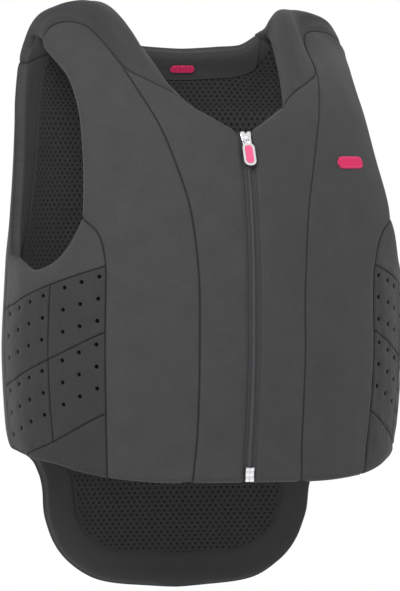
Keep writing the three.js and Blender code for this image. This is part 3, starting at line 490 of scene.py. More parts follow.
def nearest(points, line):
    """How far each point is from a line, and how far along it."""
    if line is None or len(line) == 0:
        return np.full(len(points), 500.0), np.zeros(len(points))
    a, b = line[:-1], line[1:]
    ab = b - a
    size = np.maximum((ab ** 2).sum(1), 1e-9)
    run = np.concatenate([[0], np.cumsum(np.sqrt(size))])
    away = np.empty(len(points))
    at = np.empty(len(points))
    for k in range(0, len(points), 2000):
        p = points[k:k + 2000, None] - a[None]
        t = np.clip((p * ab).sum(2) / size, 0, 1)
        d = np.linalg.norm(p - t[..., None] * ab, axis=2)
        best = d.argmin(1)
        rows = np.arange(len(best))
        away[k:k + 2000] = d[rows, best]
        at[k:k + 2000] = run[best] + t[rows, best] * np.sqrt(size[best])
    return away, at


def closest(points, lines):
    away, at = np.full(len(points), 500.0), np.zeros(len(points))
    for line in lines:
        d, r = nearest(points, line)
        at = np.where(d < away, r, at)
        away = np.minimum(d, away)
    return away, at


def round_off(distance, reach):
    t = np.clip(distance / reach, 0, 1)
    return 1 - np.sqrt(np.maximum(1 - (1 - t) ** 2, 0))


def skins(rows, columns):
    """The rim of a grid's points, and the faces of its upper and lower skins."""
    ids = np.arange(rows * columns).reshape(rows, columns)
    loop = np.concatenate([ids[0, :-1], ids[:-1, -1], ids[-1, :0:-1], ids[:0:-1, 0]])
    a, b = ids[:-1, :-1].ravel(), ids[:-1, 1:].ravel()
    c, d = ids[1:, 1:].ravel(), ids[1:, :-1].ravel()
    return loop, [np.stack([a, b, c, d], 1), np.stack([d, c, b, a], 1) + rows * columns]


def between(here, there):
    return np.stack([here, there, np.roll(there, -1), np.roll(here, -1)], 1)


def outward(ring, out):
    """The way out of a closed line, along the face."""
    tangent = np.roll(ring, -1, 0) - np.roll(ring, 1, 0)
    tangent /= np.maximum(np.linalg.norm(tangent, axis=1, keepdims=True), 1e-9)
    return np.cross(tangent, out)


RIM = 5


def pad(name, node, base, normal, cloth_uv, sewn, bound, side=1, outer_mat=SHELL, inner_mat=LINER,
        dip=2.4, reach=7.0, folds=None, crown=0.8, seed=0.0, holes=(), wall=WALL, roll=EDGE_RUN):
    """A closed pad: outer and inner skins over a grid, pulled in at seams and rolled at bound
    edges."""
    rows, columns = base.shape[:2]
    flat, out = base.reshape(-1, 3), normal.reshape(-1, 3)
    seam_away, seam_run = closest(flat, sewn)
    edge_away, run = closest(flat, bound)
    run = np.where(seam_away < edge_away, seam_run, run)
    thin = (WALL - EDGE_WALL) / 2
    near = np.minimum(seam_away, edge_away)
    x, y = cloth_uv[..., 0].ravel(), cloth_uv[..., 1].ravel()
    pucker = noise(x / 9 + seed, y / 13 + 3.1) * 0.55 + noise(x / 4.5 + 7, y / 5 + seed) * 0.22
    near_seam = np.exp(-(seam_away / 9) ** 2)
    soft = noise(x / 42 + seed, y / 60 + 1.7) * 0.8 + noise(x / 21 + 5, y / 30 + seed) * 0.35
    away = smooth(near, 0, 12)
    inset = dip * round_off(seam_away, reach) + thin * round_off(edge_away, roll)
    inset = inset - crown * smooth(near, 4, 26) - soft * away
    inset = inset - pucker * near_seam * smooth(seam_away, 0, 2.5)
    if folds is not None:
        inset = inset - folds(flat, edge_away).ravel() * smooth(near, 0, 6)
    for centre in holes:
        away_hole = np.linalg.norm(flat - centre, axis=1)
        inset = inset + 1.3 * np.exp(-(away_hole / 3.6) ** 2)
    inner_inset = wall - thin * round_off(edge_away, roll) - 1.2 * round_off(seam_away, 8)
    inner_inset = inner_inset + 0.35 * soft * away
    outer = flat - out * inset[:, None]
    inner = flat - out * inner_inset[:, None]

    loop, faces = skins(rows, columns)
    away_dir = outward(flat[loop], out[loop])
    is_bound = (edge_away[loop] < 0.4).astype(float)
    bulge = 1.4 * is_bound * smooth(seam_away[loop], 0, 2.5)
    # sewn edges are drawn back a little, so that neighbours don't share a wall
    back_off = np.where(edge_away[loop] < 0.4, 0.0, 0.15)
    outer[loop] -= away_dir * back_off[:, None]
    inner[loop] -= away_dir * back_off[:, None]
    middle = (outer[loop] + inner[loop]) / 2
    half = (outer[loop] - inner[loop]) / 2
    rim = []
    for k in range(1, RIM):
        a = math.pi * k / RIM
        rim.append(middle + half * math.cos(a) + away_dir * (bulge * math.sin(a))[:, None])
    points = np.concatenate([outer, inner] + rim)
    count, around = rows * columns, len(loop)
    slots = [np.full(len(skin), k) for k, skin in enumerate(faces)]
    rings = [loop] + [2 * count + k * around + np.arange(around) for k in range(RIM - 1)]
    rings.append(loop + count)
    for k in range(RIM):
        faces.append(between(rings[k], rings[k + 1]))
        slots.append(np.full(around, 0 if k < RIM - 1 else 1))
    faces, slots = np.concatenate(faces), np.concatenate(slots)
    pick = np.concatenate([np.arange(count), np.arange(count)] + [loop] * (RIM - 1))
    attributes = {"seam": seam_away[pick], "bound": edge_away[pick], "run": run[pick]}
    uv = cloth_uv.reshape(-1, 2)[pick]
    if side < 0:
        points = points * np.array([-1, 1, 1])
        faces = faces[:, ::-1]
        uv = uv * np.array([-1, 1])
    obj = build(name, points, faces, [outer_mat, inner_mat], slots, attributes, uv)
    fix_normals(obj)
    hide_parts(node)
    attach(obj, "vest")
    return obj


def fix_normals(obj):
    """Turns a closed mesh the right way round."""
    mesh = obj.data
    co = np.empty(len(mesh.vertices) * 3)
    mesh.vertices.foreach_get("co", co)
    co = co.reshape(-1, 3)
    mesh.calc_loop_triangles()
    tri = np.empty(len(mesh.loop_triangles) * 3, np.int32)
    mesh.loop_triangles.foreach_get("vertices", tri)
    a, b, c = co[tri.reshape(-1, 3)].transpose(1, 0, 2)
    if (a * np.cross(b, c)).sum() < 0:
        mesh.flip_normals()


def named(name, side):
    return f"{name}_{'left' if side > 0 else 'right'}"


# Panels
def panel(name, node, grid, sewn, bound, side, *mats, **look):
    """The pad of one side's panel, from its grid and its edges in places."""
    return pad(named(name, side), named(node, side), surface(grid), normals(grid), grid,
               [surface(line) for line in sewn], [surface(line) for line in bound], side,
               *mats, **look)


# The grids' steps: large panels, small ones, and those with vent holes
STEP, FINE_STEP, VENT_STEP = 3.0, 2.4, 1.7
KINK_LOW, KINK_HIGH = 0.507, 0.562
FOLD_HEIGHT, FOLD_SIDE = 250, 190
h_side = follow(HEM, "turn", 45.0, "rise") * RISE
BREAKS = [LOWER["rise"][0] * RISE, MIDDLE["rise"][0] * RISE, UPPER["rise"][0] * RISE,
          SIDE_SEAM["rise"][-1] * RISE]
neck_line = on_front(NECKLINE, NECKLINE["side"][0], NECK_SHARE)
strap_low = on_front(STRAP, NECK_SHARE, KINK_LOW)
strap_rise = on_front(STRAP, KINK_LOW, KINK_HIGH)
strap_top = on_front(STRAP, KINK_HIGH, ARM_SHARE, 60)
princess = up_seam(PRINCESS, 0, PRINCESS["rise"][-1] * RISE, 90)
princess[-1] = strap_low[-1]
side_seam = up_seam(SIDE_SEAM, h_side, BREAKS[3], 80)
front_arm = up_seam(FRONT_ARM, BREAKS[3], FRONT_ARM["rise"][-1] * RISE, 60)
front_arm[-1] = strap_top[-1]


def front_folds(flat, edge_away):
    x, z = flat[:, 0], flat[:, 2]
    pull = np.exp(-((z - FOLD_HEIGHT) / 60) ** 2) * np.exp(-((x - FOLD_SIDE) / 30) ** 2)
    return pull * 0.8 * np.sin(z / 9.0 + x / 14.0)


def front_panels(side):
    top_height = NECKLINE["rise"][0] * RISE
    zip_h = np.linspace(0, top_height - CORNER, 60)
    zip_edge = places(turn_at_side(ZIP_HALF, zip_h), zip_h)
    neck = neck_line.copy()
    along_neck = np.clip((neck[:, 0] - zip_edge[-1, 0]) / CORNER, 0, 1)
    neck[:, 1] -= CORNER * (1 - np.sqrt(1 - (1 - along_neck) ** 2))
    neck[0] = zip_edge[-1]
    bottom = places(np.linspace(turn_of(zip_edge[0, 0]), PRINCESS["turn"][0], 30), 0.0)
    grid = fill(bottom, join(neck, strap_low), zip_edge, princess, STEP)
    panel("center_pad", "front_center", grid, [princess, strap_low], [bottom, zip_edge, neck], side,
          crown=0.3, dip=1.2, reach=4.5, seed=3.0 + side, roll=5.0)
    bottom = along(HEM, PRINCESS["turn"][0], SIDE_SEAM["turn"][0], 40)
    bottom[-1] = side_seam[0]
    grid = fill(bottom, strap_top, join(princess, strap_rise), join(side_seam, front_arm), STEP)
    panel("chest_pad", "front_side", grid, [princess, join(strap_rise, strap_top), side_seam],
          [bottom, front_arm], side, crown=0.7, dip=1.4, reach=4.5,
          folds=front_folds, seed=11.0 + side * 2, roll=8.0)


def yoke(side):
    across, steps = 44, 84
    share = np.linspace(NECK_SHARE, ARM_SHARE, across)
    front_h = follow(STRAP, "side", share, "rise") * RISE
    front_t = turn_at_side(share * HALF, front_h)
    back_h = follow(STRAP_BACK, "front", share, "rise") * RISE
    back_t = follow(STRAP_BACK, "front", share, "turn")
    low, high = face_point(front_t, front_h), face_point(back_t, back_h)
    ridge = np.stack([follow(RIDGE, "front", share, "side") * HALF,
                      follow(RIDGE, "front", share, "depth") * BACK,
                      follow(RIDGE, "front", share, "rise") * RISE], -1)

    def up(turn, height):
        v = face_point(turn, height + 1) - face_point(turn, height - 1)
        return v / np.linalg.norm(v, axis=1, keepdims=True)

    arch = follow(RIDGE, "front", share, "arch")[:, None]
    forward = np.linalg.norm(low - ridge, axis=1, keepdims=True) * arch
    behind = np.linalg.norm(high - ridge, axis=1, keepdims=True)
    over = (high - low) * np.array([1, 1, 0])
    over /= np.linalg.norm(over, axis=1, keepdims=True)

    def curve(a, b, wa, wb, u):
        u = u[:, None, None]
        return ((1 + 2 * u) * (1 - u) ** 2 * a + u * (1 - u) ** 2 * wa
                + u * u * (3 - 2 * u) * b + u * u * (u - 1) * wb)

    first = curve(low, ridge, up(front_t, front_h) * forward, over * forward,
                  np.linspace(0, 1, steps // 2 + 1))
    second = curve(ridge, high, over * behind, -up(back_t, back_h) * behind,
                   np.linspace(0, 1, steps // 2 + 1))
    sway = np.sin(np.linspace(0, math.pi, len(first)))[:, None]
    sway = sway * (1 - smooth(share, NECK_SHARE, SWAY_END))
    first = first + sway[..., None] * np.array(STRAP_SWAY)
    base = np.concatenate([first, second[1:]])
    dv, du = np.gradient(base, axis=0), np.gradient(base, axis=1)
    normal = np.cross(du, dv)
    normal /= np.linalg.norm(normal, axis=-1, keepdims=True)
    normal[0] = normals(places(front_t, front_h))
    normal[-1] = normals(places(back_t, back_h))
    for k in (1, 2):
        w = k / 3
        normal[k] = normal[0] * (1 - w) + normal[3] * w
        normal[-1 - k] = normal[-1] * (1 - w) + normal[-4] * w
    normal /= np.linalg.norm(normal, axis=-1, keepdims=True)
    run_u = np.cumsum(np.linalg.norm(du, axis=-1), axis=1)
    run_v = np.cumsum(np.linalg.norm(dv, axis=-1), axis=0)
    uv = np.stack([run_u, run_v], -1)

    def folds(flat, edge_away):
        lane = np.exp(-((edge_away - 16) / 9) ** 2)
        front_part = smooth(-flat[:, 1], -30, 30)
        return front_part * lane * 0.9 * np.sin(edge_away / 2.1)

    pad(named("strap_pad", side), named("shoulder_yoke", side), base, normal, uv,
        [base[0], base[-1]], [base[:, 0], base[:, -1]], side, YOKE, BORDER, crown=0.5, dip=1.8,
        reach=6, folds=folds, seed=21 + side * 4)


def hole_places(bottom, top):
    """Vent holes in columns that step down with the slanting edges."""
    low_t, high_t = turn_of(bottom[0, 0]), turn_of(bottom[-1, 0])
    middle = (bottom[0, 1] + top[0, 1]) / 2

    def per_mm(turn):
        return 1 / np.linalg.norm(face_point(turn + 1, middle) - face_point(turn, middle))

    found = []
    turn = low_t + VENT_MARGIN * per_mm(low_t)
    while turn < high_t - VENT_MARGIN * per_mm(high_t - 1):
        s = (turn - low_t) / (high_t - low_t)
        low = bottom[0, 1] + (bottom[-1, 1] - bottom[0, 1]) * s + VENT_MARGIN
        high = top[0, 1] + (top[-1, 1] - top[0, 1]) * s - VENT_MARGIN
        while high > low:
            found.append(places(turn, high))
            high -= VENT_RISE
        turn += VENT_PITCH * per_mm(turn)
    return np.array(found)


def cut_holes(obj, spots, side):
    """Cuts the vent holes right through a side pad."""
    points, faces = [], []
    sides = 18
    for spot in spots:
        centre, out = surface(spot), normals(spot)
        if side < 0:
            centre, out = centre * [-1, 1, 1], out * [-1, 1, 1]
        u = np.cross(out, [0, 0, 1.0])
        u /= np.linalg.norm(u)
        v = np.cross(out, u)
        first = len(points)
        for depth in (6.0, -26.0):
            for k in range(sides):
                a = 2 * math.pi * k / sides
                around = math.cos(a) * u + math.sin(a) * v
                points.append(centre + out * depth + VENT_RADIUS * around)
        for k in range(sides):
            m = (k + 1) % sides
            faces.append((first + k, first + m, first + sides + m, first + sides + k))
        faces.append(tuple(first + k for k in reversed(range(sides))))
        faces.append(tuple(first + sides + k for k in range(sides)))
    cutter_mesh = bpy.data.meshes.new("cutter")
    points = settled(np.array(points))
    points[:, 2] -= ORIGIN
    cutter_mesh.from_pydata((points * MM).tolist(), [], faces)
    cutter = bpy.data.objects.new("cutter", cutter_mesh)
    bpy.context.scene.collection.objects.link(cutter)
    fix_normals(cutter)
    mod = obj.modifiers.new("vents", "BOOLEAN")
    mod.operation = "DIFFERENCE"
    mod.object = cutter
    mod.solver = "EXACT"
    depsgraph = bpy.context.evaluated_depsgraph_get()
    result = bpy.data.meshes.new_from_object(obj.evaluated_get(depsgraph))
    obj.modifiers.clear()
    old = obj.data
    obj.data = result
    bpy.data.meshes.remove(old)
    bpy.data.objects.remove(cutter)
    bpy.data.meshes.remove(cutter_mesh)
    obj.data.set_sharp_from_angle(angle=math.radians(40))


def side_panels(side):
    def cut(rows, turn):
        return float(follow(rows, "turn", turn, "rise")) * RISE

    def seam_part(k):
        return up_seam(SIDE_SEAM, BREAKS[k], BREAKS[k + 1], 30)

    def slant(rows, start, end):
        return along(rows, start, end, 40)

    def wall(turn, low, high):
        return upright(turn, cut(low, turn), cut(high, turn))

    mid, back = MID_TURN, BACK_TURN
    start = [float(follow(SIDE_SEAM, "rise", b / RISE, "turn")) for b in BREAKS]

    def edge(rows, k, end):
        line = slant(rows, start[k], end)
        line[0] = places(start[k], BREAKS[k])
        return line

    low_turn = np.linspace(mid, back, 50)
    slant_h = follow(LOWER, "turn", np.minimum(low_turn, HEM_TURN), "rise") * RISE
    hem_h = follow(HEM, "turn", low_turn, "rise") * RISE
    low_back = places(low_turn, np.where(low_turn < HEM_TURN, np.maximum(slant_h, hem_h), hem_h))
    blocks = [
        ("vent_upper_front", edge(MIDDLE, 1, mid), edge(UPPER, 2, mid), seam_part(1),
         wall(mid, MIDDLE, UPPER), True),
        ("vent_upper_back", slant(MIDDLE, mid, back), slant(UPPER, mid, back),
         wall(mid, MIDDLE, UPPER),
         wall(back, MIDDLE, UPPER), True),
        ("vent_lower_front", edge(LOWER, 0, mid), edge(MIDDLE, 1, mid), seam_part(0),
         wall(mid, LOWER, MIDDLE), True),
        ("vent_lower_back", low_back, slant(MIDDLE, mid, back),
         wall(mid, LOWER, MIDDLE),
         wall(back, HEM, MIDDLE), False),
    ]
    for name, bottom, top, left, right, all_sewn in blocks:
        grid = fill(bottom, top, left, right, VENT_STEP)
        spots = hole_places(bottom, top)
        free = [] if all_sewn else [bottom[low_turn >= HEM_TURN]]
        joined = bottom if all_sewn else bottom[low_turn < HEM_TURN]
        obj = panel(name + "_pad", name, grid, [joined, top, left, right], free, side, SIDE,
                    LINER, dip=1.7, reach=5.5, crown=0.9, seed=31 + side * 3 + len(name),
                    holes=[surface(s) for s in spots])
        cut_holes(obj, spots, side)
    turns = np.linspace(45.0, HEM_TURN, 60)
    bottom = places(turns, follow(HEM, "turn", turns, "rise") * RISE)
    bottom[0] = side_seam[0]
    top = edge(LOWER, 0, HEM_TURN)
    left = up_seam(SIDE_SEAM, h_side, BREAKS[0], 30)
    right = wall(HEM_TURN, HEM, LOWER)
    grid = fill(bottom, top, left, right, FINE_STEP)
    panel("side_hem_pad", "side_hem", grid, [top, left, right], [bottom], side, SIDE, LINER,
          dip=1.7, reach=5.5, seed=41 + side)
    bottom = edge(UPPER, 2, back)
    top = along(UNDERARM, 55, BACK_TURN, 60)
    left = seam_part(2)
    right = wall(back, UPPER, UNDERARM)
    grid = fill(bottom, top, left, right, FINE_STEP)
    panel("underarm_pad", "underarm", grid, [bottom, left, right], [top], side, SHELL, BORDER,
          dip=1.7, reach=5.5, seed=51 + side)


def tail_line(low, high, count):
    turn = np.linspace(low, high, count)
    height = (follow(TAIL_EDGE, "turn", turn, "rise") * RISE
              - follow(TAIL_EDGE, "turn", turn, "drop") * DROP)
    return places(turn, height)


back_bottom = tail_line(180, BACK_TURN, 400)
nape_line = along(NAPE, 180, 166, 120)
_fronts = np.linspace(NECK_SHARE, ARM_SHARE, 80)
strap_back = places(follow(STRAP_BACK, "front", _fronts, "turn"),
                    follow(STRAP_BACK, "front", _fronts, "rise") * RISE)
back_seam = upright(BACK_TURN, HEM["rise"][-1] * RISE, UNDERARM["rise"][-1] * RISE)
back_arm = up_seam(BACK_ARM, BACK_ARM["rise"][0] * RISE, BACK_ARM["rise"][-1] * RISE, 70)
centre_back = places(180.0, np.linspace(back_bottom[0, 1], nape_line[0, 1], 80))


def whole(half):
    """A whole back from its half, which starts at the centre line."""
    return np.concatenate([half[:, :0:-1] * np.array([-1, 1, 1]), half], axis=1)


def whole_line(line):
    return np.concatenate([line[::-1] * np.array([-1, 1, 1]), line[1:]])


def mirrored(grid):
    """Both halves of a surface over a grid that starts at the centre line, with its cloth map."""
    base, normal = surface(grid), normals(grid)
    base[:, 0, 0] = 0
    normal[:, 0, 0] = 0
    uv = grid - np.array([ROUND, 0])
    uv = np.concatenate([uv[:, :0:-1] * np.array([-1, 1]), uv], axis=1)
    return whole(base), whole(normal), uv


def rest_on(obj, node):
    """Hides the imported node and fixes a thin closed mesh to the vest."""
    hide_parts(node)
    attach(obj, "vest")


def thin_sheet(name, node, upper, lower, uv, seam, run, mat):
    """A thin closed sheet between two skins of points."""
    loop, faces = skins(*upper.shape[:2])
    count = seam.size
    faces.append(between(loop, loop + count))
    points = np.concatenate([upper.reshape(-1, 3), lower.reshape(-1, 3)])
    twice = lambda values: np.concatenate([values, values])
    attributes = {"seam": twice(seam.ravel()), "bound": np.full(2 * count, 50.0),
                  "run": twice(run.ravel())}
    obj = build(name, points, np.concatenate(faces), [mat], None, attributes,
                twice(uv.reshape(-1, 2)), 60)
    fix_normals(obj)
    rest_on(obj, node)


def back_pad():
    grid = fill(back_bottom, join(nape_line, strap_back), centre_back,
                join(back_seam, back_arm), 3.4, open_left=True)
    base, normal, uv = mirrored(grid)
    mirror = lambda line: surface(line) * np.array([-1, 1, 1])
    sewn = [surface(strap_back), mirror(strap_back), surface(back_seam), mirror(back_seam)]
    bound = [whole_line(surface(back_bottom)), whole_line(surface(nape_line)), surface(back_arm),
             mirror(back_arm)]
    pad("back_pad", "back_panel", base, normal, uv, sewn, bound, 1, SHELL, BORDER,
        crown=1.0, seed=61)


def lay_sheet(name, node, grid, depth, wall, mats, side_lines):
    """A thin sheet on the inner face of the back, with rounded edges."""
    base, normal, uv = mirrored(grid)
    rows, columns = base.shape[:2]
    flat_base, out = base.reshape(-1, 3), normal.reshape(-1, 3)
    inset = depth(flat_base)
    upper = flat_base - out * inset[:, None]
    lower = flat_base - out * (inset + wall)[:, None]
    loop, faces = skins(rows, columns)
    count, around = rows * columns, len(loop)
    away = outward(flat_base[loop], out[loop])
    middle = (upper[loop] + lower[loop]) / 2 + away * wall * 0.5
    points = np.concatenate([upper, lower, middle])
    rim = 2 * count + np.arange(around)
    faces += [between(loop, rim), between(rim, loop + count)]
    pick = np.concatenate([np.arange(count), np.arange(count), loop])
    edge_away, run = closest(flat_base, side_lines)
    attributes = {"seam": np.full(len(pick), 50.0), "bound": edge_away[pick], "run": run[pick]}
    obj = build(name, points, np.concatenate(faces), mats, None, attributes,
                uv.reshape(-1, 2)[pick], 60)
    fix_normals(obj)
    rest_on(obj, node)


def inset_line(line, by):
    """The line moved to its left by a distance, in the plane of places."""
    way = np.gradient(line, axis=0)
    way /= np.maximum(np.linalg.norm(way, axis=1, keepdims=True), 1e-9)
    return line + np.stack([-way[:, 1], way[:, 0]], -1) * by


def liner():
    """The perforated liner: a border's width inside the tail's and armholes' edges."""
    edge = even(back_bottom, 260)
    low = inset_line(edge, -LINER_INSET)
    low = low[(low[:, 0] > way_of(BACK_TURN) + 2) & (low[:, 0] < ROUND - 4)]
    keep = [0]
    for k in range(1, len(low)):
        if low[k, 0] < low[keep[-1], 0] - 0.2:
            keep.append(k)
    low = low[keep]
    low = np.concatenate([[[ROUND, low[0, 1]]], low, [[way_of(BACK_TURN) + 2, low[-1, 1]]]])
    arm_edge = even(back_arm, 80)
    arm = inset_line(arm_edge, LINER_INSET)
    if arm[-1, 0] < arm_edge[-1, 0]:
        arm = inset_line(arm_edge, -LINER_INSET)
    arm_top = strap_back[:, 1].min() - 5
    arm = arm[(arm[:, 1] > back_seam[-1, 1] + 18) & (arm[:, 1] < arm_top)]
    up = np.linspace(low[-1, 1], back_seam[-1, 1] - 14, 30)
    seam = np.stack([np.full(30, low[-1, 0]), up], -1)
    right = join(seam, arm)
    top_mid = nape_line[0, 1] - BAND - 1
    knots = strap_back[(strap_back[:, 0] > arm[-1, 0] + 6)] - [0, 4]
    side_top = np.concatenate([np.array([[nape_line[-1, 0], nape_line[-1, 1] - BAND - 1]]),
                               knots[knots[:, 0] < nape_line[-1, 0] - 12], arm[-1:]])
    top = np.concatenate([nape_line[:-1] - [0, BAND + 1], side_top])
    left = np.stack([np.full(60, ROUND), np.linspace(low[0, 1], top_mid, 60)], -1)
    grid = fill(low, top, left, right, 3.0, ends=0.3, open_left=True)
    line = surface(join(low, right))
    mirror = line * np.array([-1, 1, 1])
    lay_sheet("back_liner_sheet", "back_liner", grid,
              lambda p: np.full(len(p), WALL + 0.5), 1.6, [LINER_SHEET],
              [whole_line(line), mirror[:2]])


def band():
    top = along(NAPE, 180, 166, 60)
    low = top - [0, BAND]
    top = top - [0, 1.5]
    ends = [np.stack([np.full(12, top[k, 0]), np.linspace(low[k, 1], top[k, 1], 12)], -1)
            for k in (0, -1)]
    grid = fill(low, top, *ends, 2.4, open_left=True)
    edge = whole_line(surface(top))
    lay_sheet("collar_band_sheet", "collar_band", grid,
              lambda p: np.full(len(p), WALL + 0.5) - 3.5 * round_off(closest(p, [edge])[0], 13),
              1.4, [BORDER], [whole_line(surface(low))])


for one_side in (1, -1):
    front_panels(one_side)
    yoke(one_side)
    side_panels(one_side)
back_pad()
liner()
band()


# The zip and the tabs
ZIP_TOP = NECKLINE["rise"][0] * RISE
TAPE_INSET, TAPE_WALL, TAPE_EDGE, TAPE_STITCH = 4.8, 1.4, 7.15, 5.6
TOOTH_PITCH, TOOTH_INSET, TOOTH_RADIUS = 1.6, 3.1, 0.62
BOX_HEIGHT, SLIDER_HEIGHT, SLIDER_MIDDLE = 15.0, 16.0, ZIP_TOP - 9.0
SLIDER_FRONT, SLIDER_BACK, PULL_AXIS = -1.1, 1.5, -2.45


def zip_tape(side):
    """A woven tape with ribs along it, from the coil out to the front panel's edge."""
    heights = np.linspace(0, ZIP_TOP - 0.4, 150)
    across = np.linspace(0.18, TAPE_EDGE, 25)
    grid = np.empty((len(heights), len(across), 2))
    grid[..., 0], grid[..., 1] = across, heights[:, None]
    turn = turn_at_side(grid[..., 0].ravel(), grid[..., 1].ravel()).reshape(grid.shape[:2])
    base, out = face_point(turn, grid[..., 1]), normals(places(turn, grid[..., 1]))
    rib = 0.22 * np.cos(across * 2 * math.pi / 1.75) + 0.5 * smooth(across, 4.0, 7.0)
    upper = base - out * (TAPE_INSET - rib)[None, :, None]
    lower = base - out * (TAPE_INSET + TAPE_WALL * 0.6)
    mirror = np.array([side, 1, 1])
    thin_sheet(named("zip_tape_woven", side), named("zip_tape", side), upper * mirror,
               lower * mirror, grid, np.abs(grid[..., 0] - TAPE_STITCH) + 0.9, grid[..., 1],
               TAPE)


def on_zip(points, height):
    """Moves points drawn flat, with -y outward and z up the zip, onto the front centre line."""
    spot, out = face_point(0.0, height), normals(places(np.array([0.0]), np.array([height])))[0]
    angle = math.atan2(-out[2], -out[1])
    cosine, sine = math.cos(angle), math.sin(angle)
    x, y, z = np.asarray(points, float).T
    return np.stack([x, y * cosine - z * sine + spot[1], y * sine + z * cosine + spot[2]], -1)


def capsule(start, end, radius, sides=8):
    """A short rounded rod."""
    start, end = np.asarray(start, float), np.asarray(end, float)
    way = (end - start) / np.linalg.norm(end - start)
    u = np.cross(way, [0, 0, 1.0])
    u = u / np.linalg.norm(u) if np.linalg.norm(u) > 0.1 else np.array([1.0, 0, 0])
    v = np.cross(way, u)
    points = [start - way * radius]
    for centre, share, lean in ((start, 0.75, -0.65), (start, 1, 0), (end, 1, 0),
                                (end, 0.75, 0.65)):
        for k in range(sides):
            a = 2 * math.pi * k / sides
            points.append(centre + way * lean * radius
                          + radius * share * (math.cos(a) * u + math.sin(a) * v))
    points.append(end + way * radius)
    faces = []
    for k in range(sides):
        m = (k + 1) % sides
        faces.append([0, 1 + m, 1 + k])
        for ring in range(3):
            low = 1 + ring * sides
            faces.append([low + k, low + m, low + sides + m, low + sides + k])
        faces.append([1 + 3 * sides + k, 1 + 3 * sides + m, 1 + 4 * sides])
    return points, faces


def gather(parts):
    points, faces = [], []
    for some, shapes in parts:
        first = len(points)
        points.extend(some)
        faces.extend([[first + k for k in face] for face in shapes])
    return np.array(points), faces


def coil():
    """The closed coil: two rows of interlocked teeth over a core."""
    low, high = BOX_HEIGHT + 0.6, SLIDER_MIDDLE + 3
    parts = []
    for k, height in enumerate(np.arange(low, high, TOOTH_PITCH / 2)):
        way = 1 if k % 2 else -1
        ends = on_zip([(-way * 0.5, TOOTH_INSET, 0), (way * 2.1, TOOTH_INSET + 0.15, 0)], height)
        parts.append(capsule(ends[0], ends[1], TOOTH_RADIUS, 6))
    steps = np.linspace(low, high, 60)
    core = [on_zip([(0, TOOTH_INSET + 0.75, 0)], height)[0] for height in steps]
    for below, above in zip(core[:-1], core[1:]):
        parts.append(capsule(below, above, 0.6, 6))
    points, faces = gather(parts)
    finish_hard(build("zip_coil", points, faces, [COIL], sharp=60), "zip_teeth", "vest")


def finish_hard(obj, node, body):
    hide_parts(node)
    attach(obj, body)


def bevelled(obj, width):
    mod = obj.modifiers.new("edges", "BEVEL")
    mod.width, mod.segments, mod.limit_method = width * MM, 3, "ANGLE"
    mod.angle_limit = math.radians(35)
    result = bpy.data.meshes.new_from_object(
        obj.evaluated_get(bpy.context.evaluated_depsgraph_get()))
    obj.modifiers.clear()
    obj.data = result
    result.polygons.foreach_set("use_smooth", np.ones(len(result.polygons), bool))
    result.set_sharp_from_angle(angle=math.radians(50))


def refined(name, node, body, mat, width):
    """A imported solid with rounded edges."""
    source = bpy.data.objects[node]
    mesh = source.data.copy()
    mesh.materials.clear()
    mesh.materials.append(mat)
    obj = bpy.data.objects.new(name, mesh)
    bpy.context.scene.collection.objects.link(obj)
    bevelled(obj, width)
    finish_hard(obj, node, body)


def prism(outline, low, high, axis):
    """An outline drawn in the two other axes, extruded along one axis."""
    count = len(outline)
    points = []
    for level in (low, high):
        for p, q in outline:
            points.append((level, p, q) if axis == 0 else (p, level, q))
    faces = [list(range(count)), list(reversed(range(count, 2 * count)))]
    for k in range(count):
        m = (k + 1) % count
        faces.append([m, k, count + k, count + m])
    return points, faces


def silver_piece(name, node, parts, height):
    """Closed parts joined in one mesh, at a height on the zip, with rounded edges."""
    points, faces = gather(parts)
    obj = build(name, on_zip(points, height), faces, [SILVER])
    work = bmesh.new()
    work.from_mesh(obj.data)
    bmesh.ops.recalc_face_normals(work, faces=work.faces)
    work.to_mesh(obj.data)
    work.free()
    bevelled(obj, 0.35)
    finish_hard(obj, node, "vest")


def slider():
    """A shield-shaped slider with a notch at its top, and the bridge that the pull hangs in."""
    shield = [(-5.2, 8.0), (-2.2, 8.0), (0, 5.4), (2.2, 8.0), (5.2, 8.0), (5.5, 4.2), (3.9, -3.0),
              (3.6, -8.0), (-3.6, -8.0), (-3.9, -3.0), (-5.5, 4.2)]
    inner, outer = 1.35, 2.65
    turns = np.linspace(-math.pi / 2, -math.pi * 1.5, 12)
    arch = [(SLIDER_FRONT + 0.5, -outer)]
    arch += [(PULL_AXIS + outer * math.cos(a), outer * math.sin(a)) for a in turns]
    arch += [(SLIDER_FRONT + 0.5, outer), (SLIDER_FRONT + 0.5, inner)]
    arch += [(PULL_AXIS + inner * math.cos(a), inner * math.sin(a)) for a in turns[::-1]]
    arch += [(SLIDER_FRONT + 0.5, -inner)]
    parts = [prism(shield, SLIDER_FRONT, SLIDER_FRONT + 1.1, 1), prism(shield, SLIDER_BACK - 0.8,
                                                                     SLIDER_BACK, 1)]
    parts.append(prism([(-1.5, 7.0), (0, 4.6), (1.5, 7.0), (1.2, -6.5), (-1.2, -6.5)],
                       SLIDER_FRONT + 0.6, SLIDER_BACK - 0.4, 1))
    parts.append(prism(arch, -1.2, 1.2, 0))
    silver_piece("slider", "zip_slider", parts, SLIDER_MIDDLE)


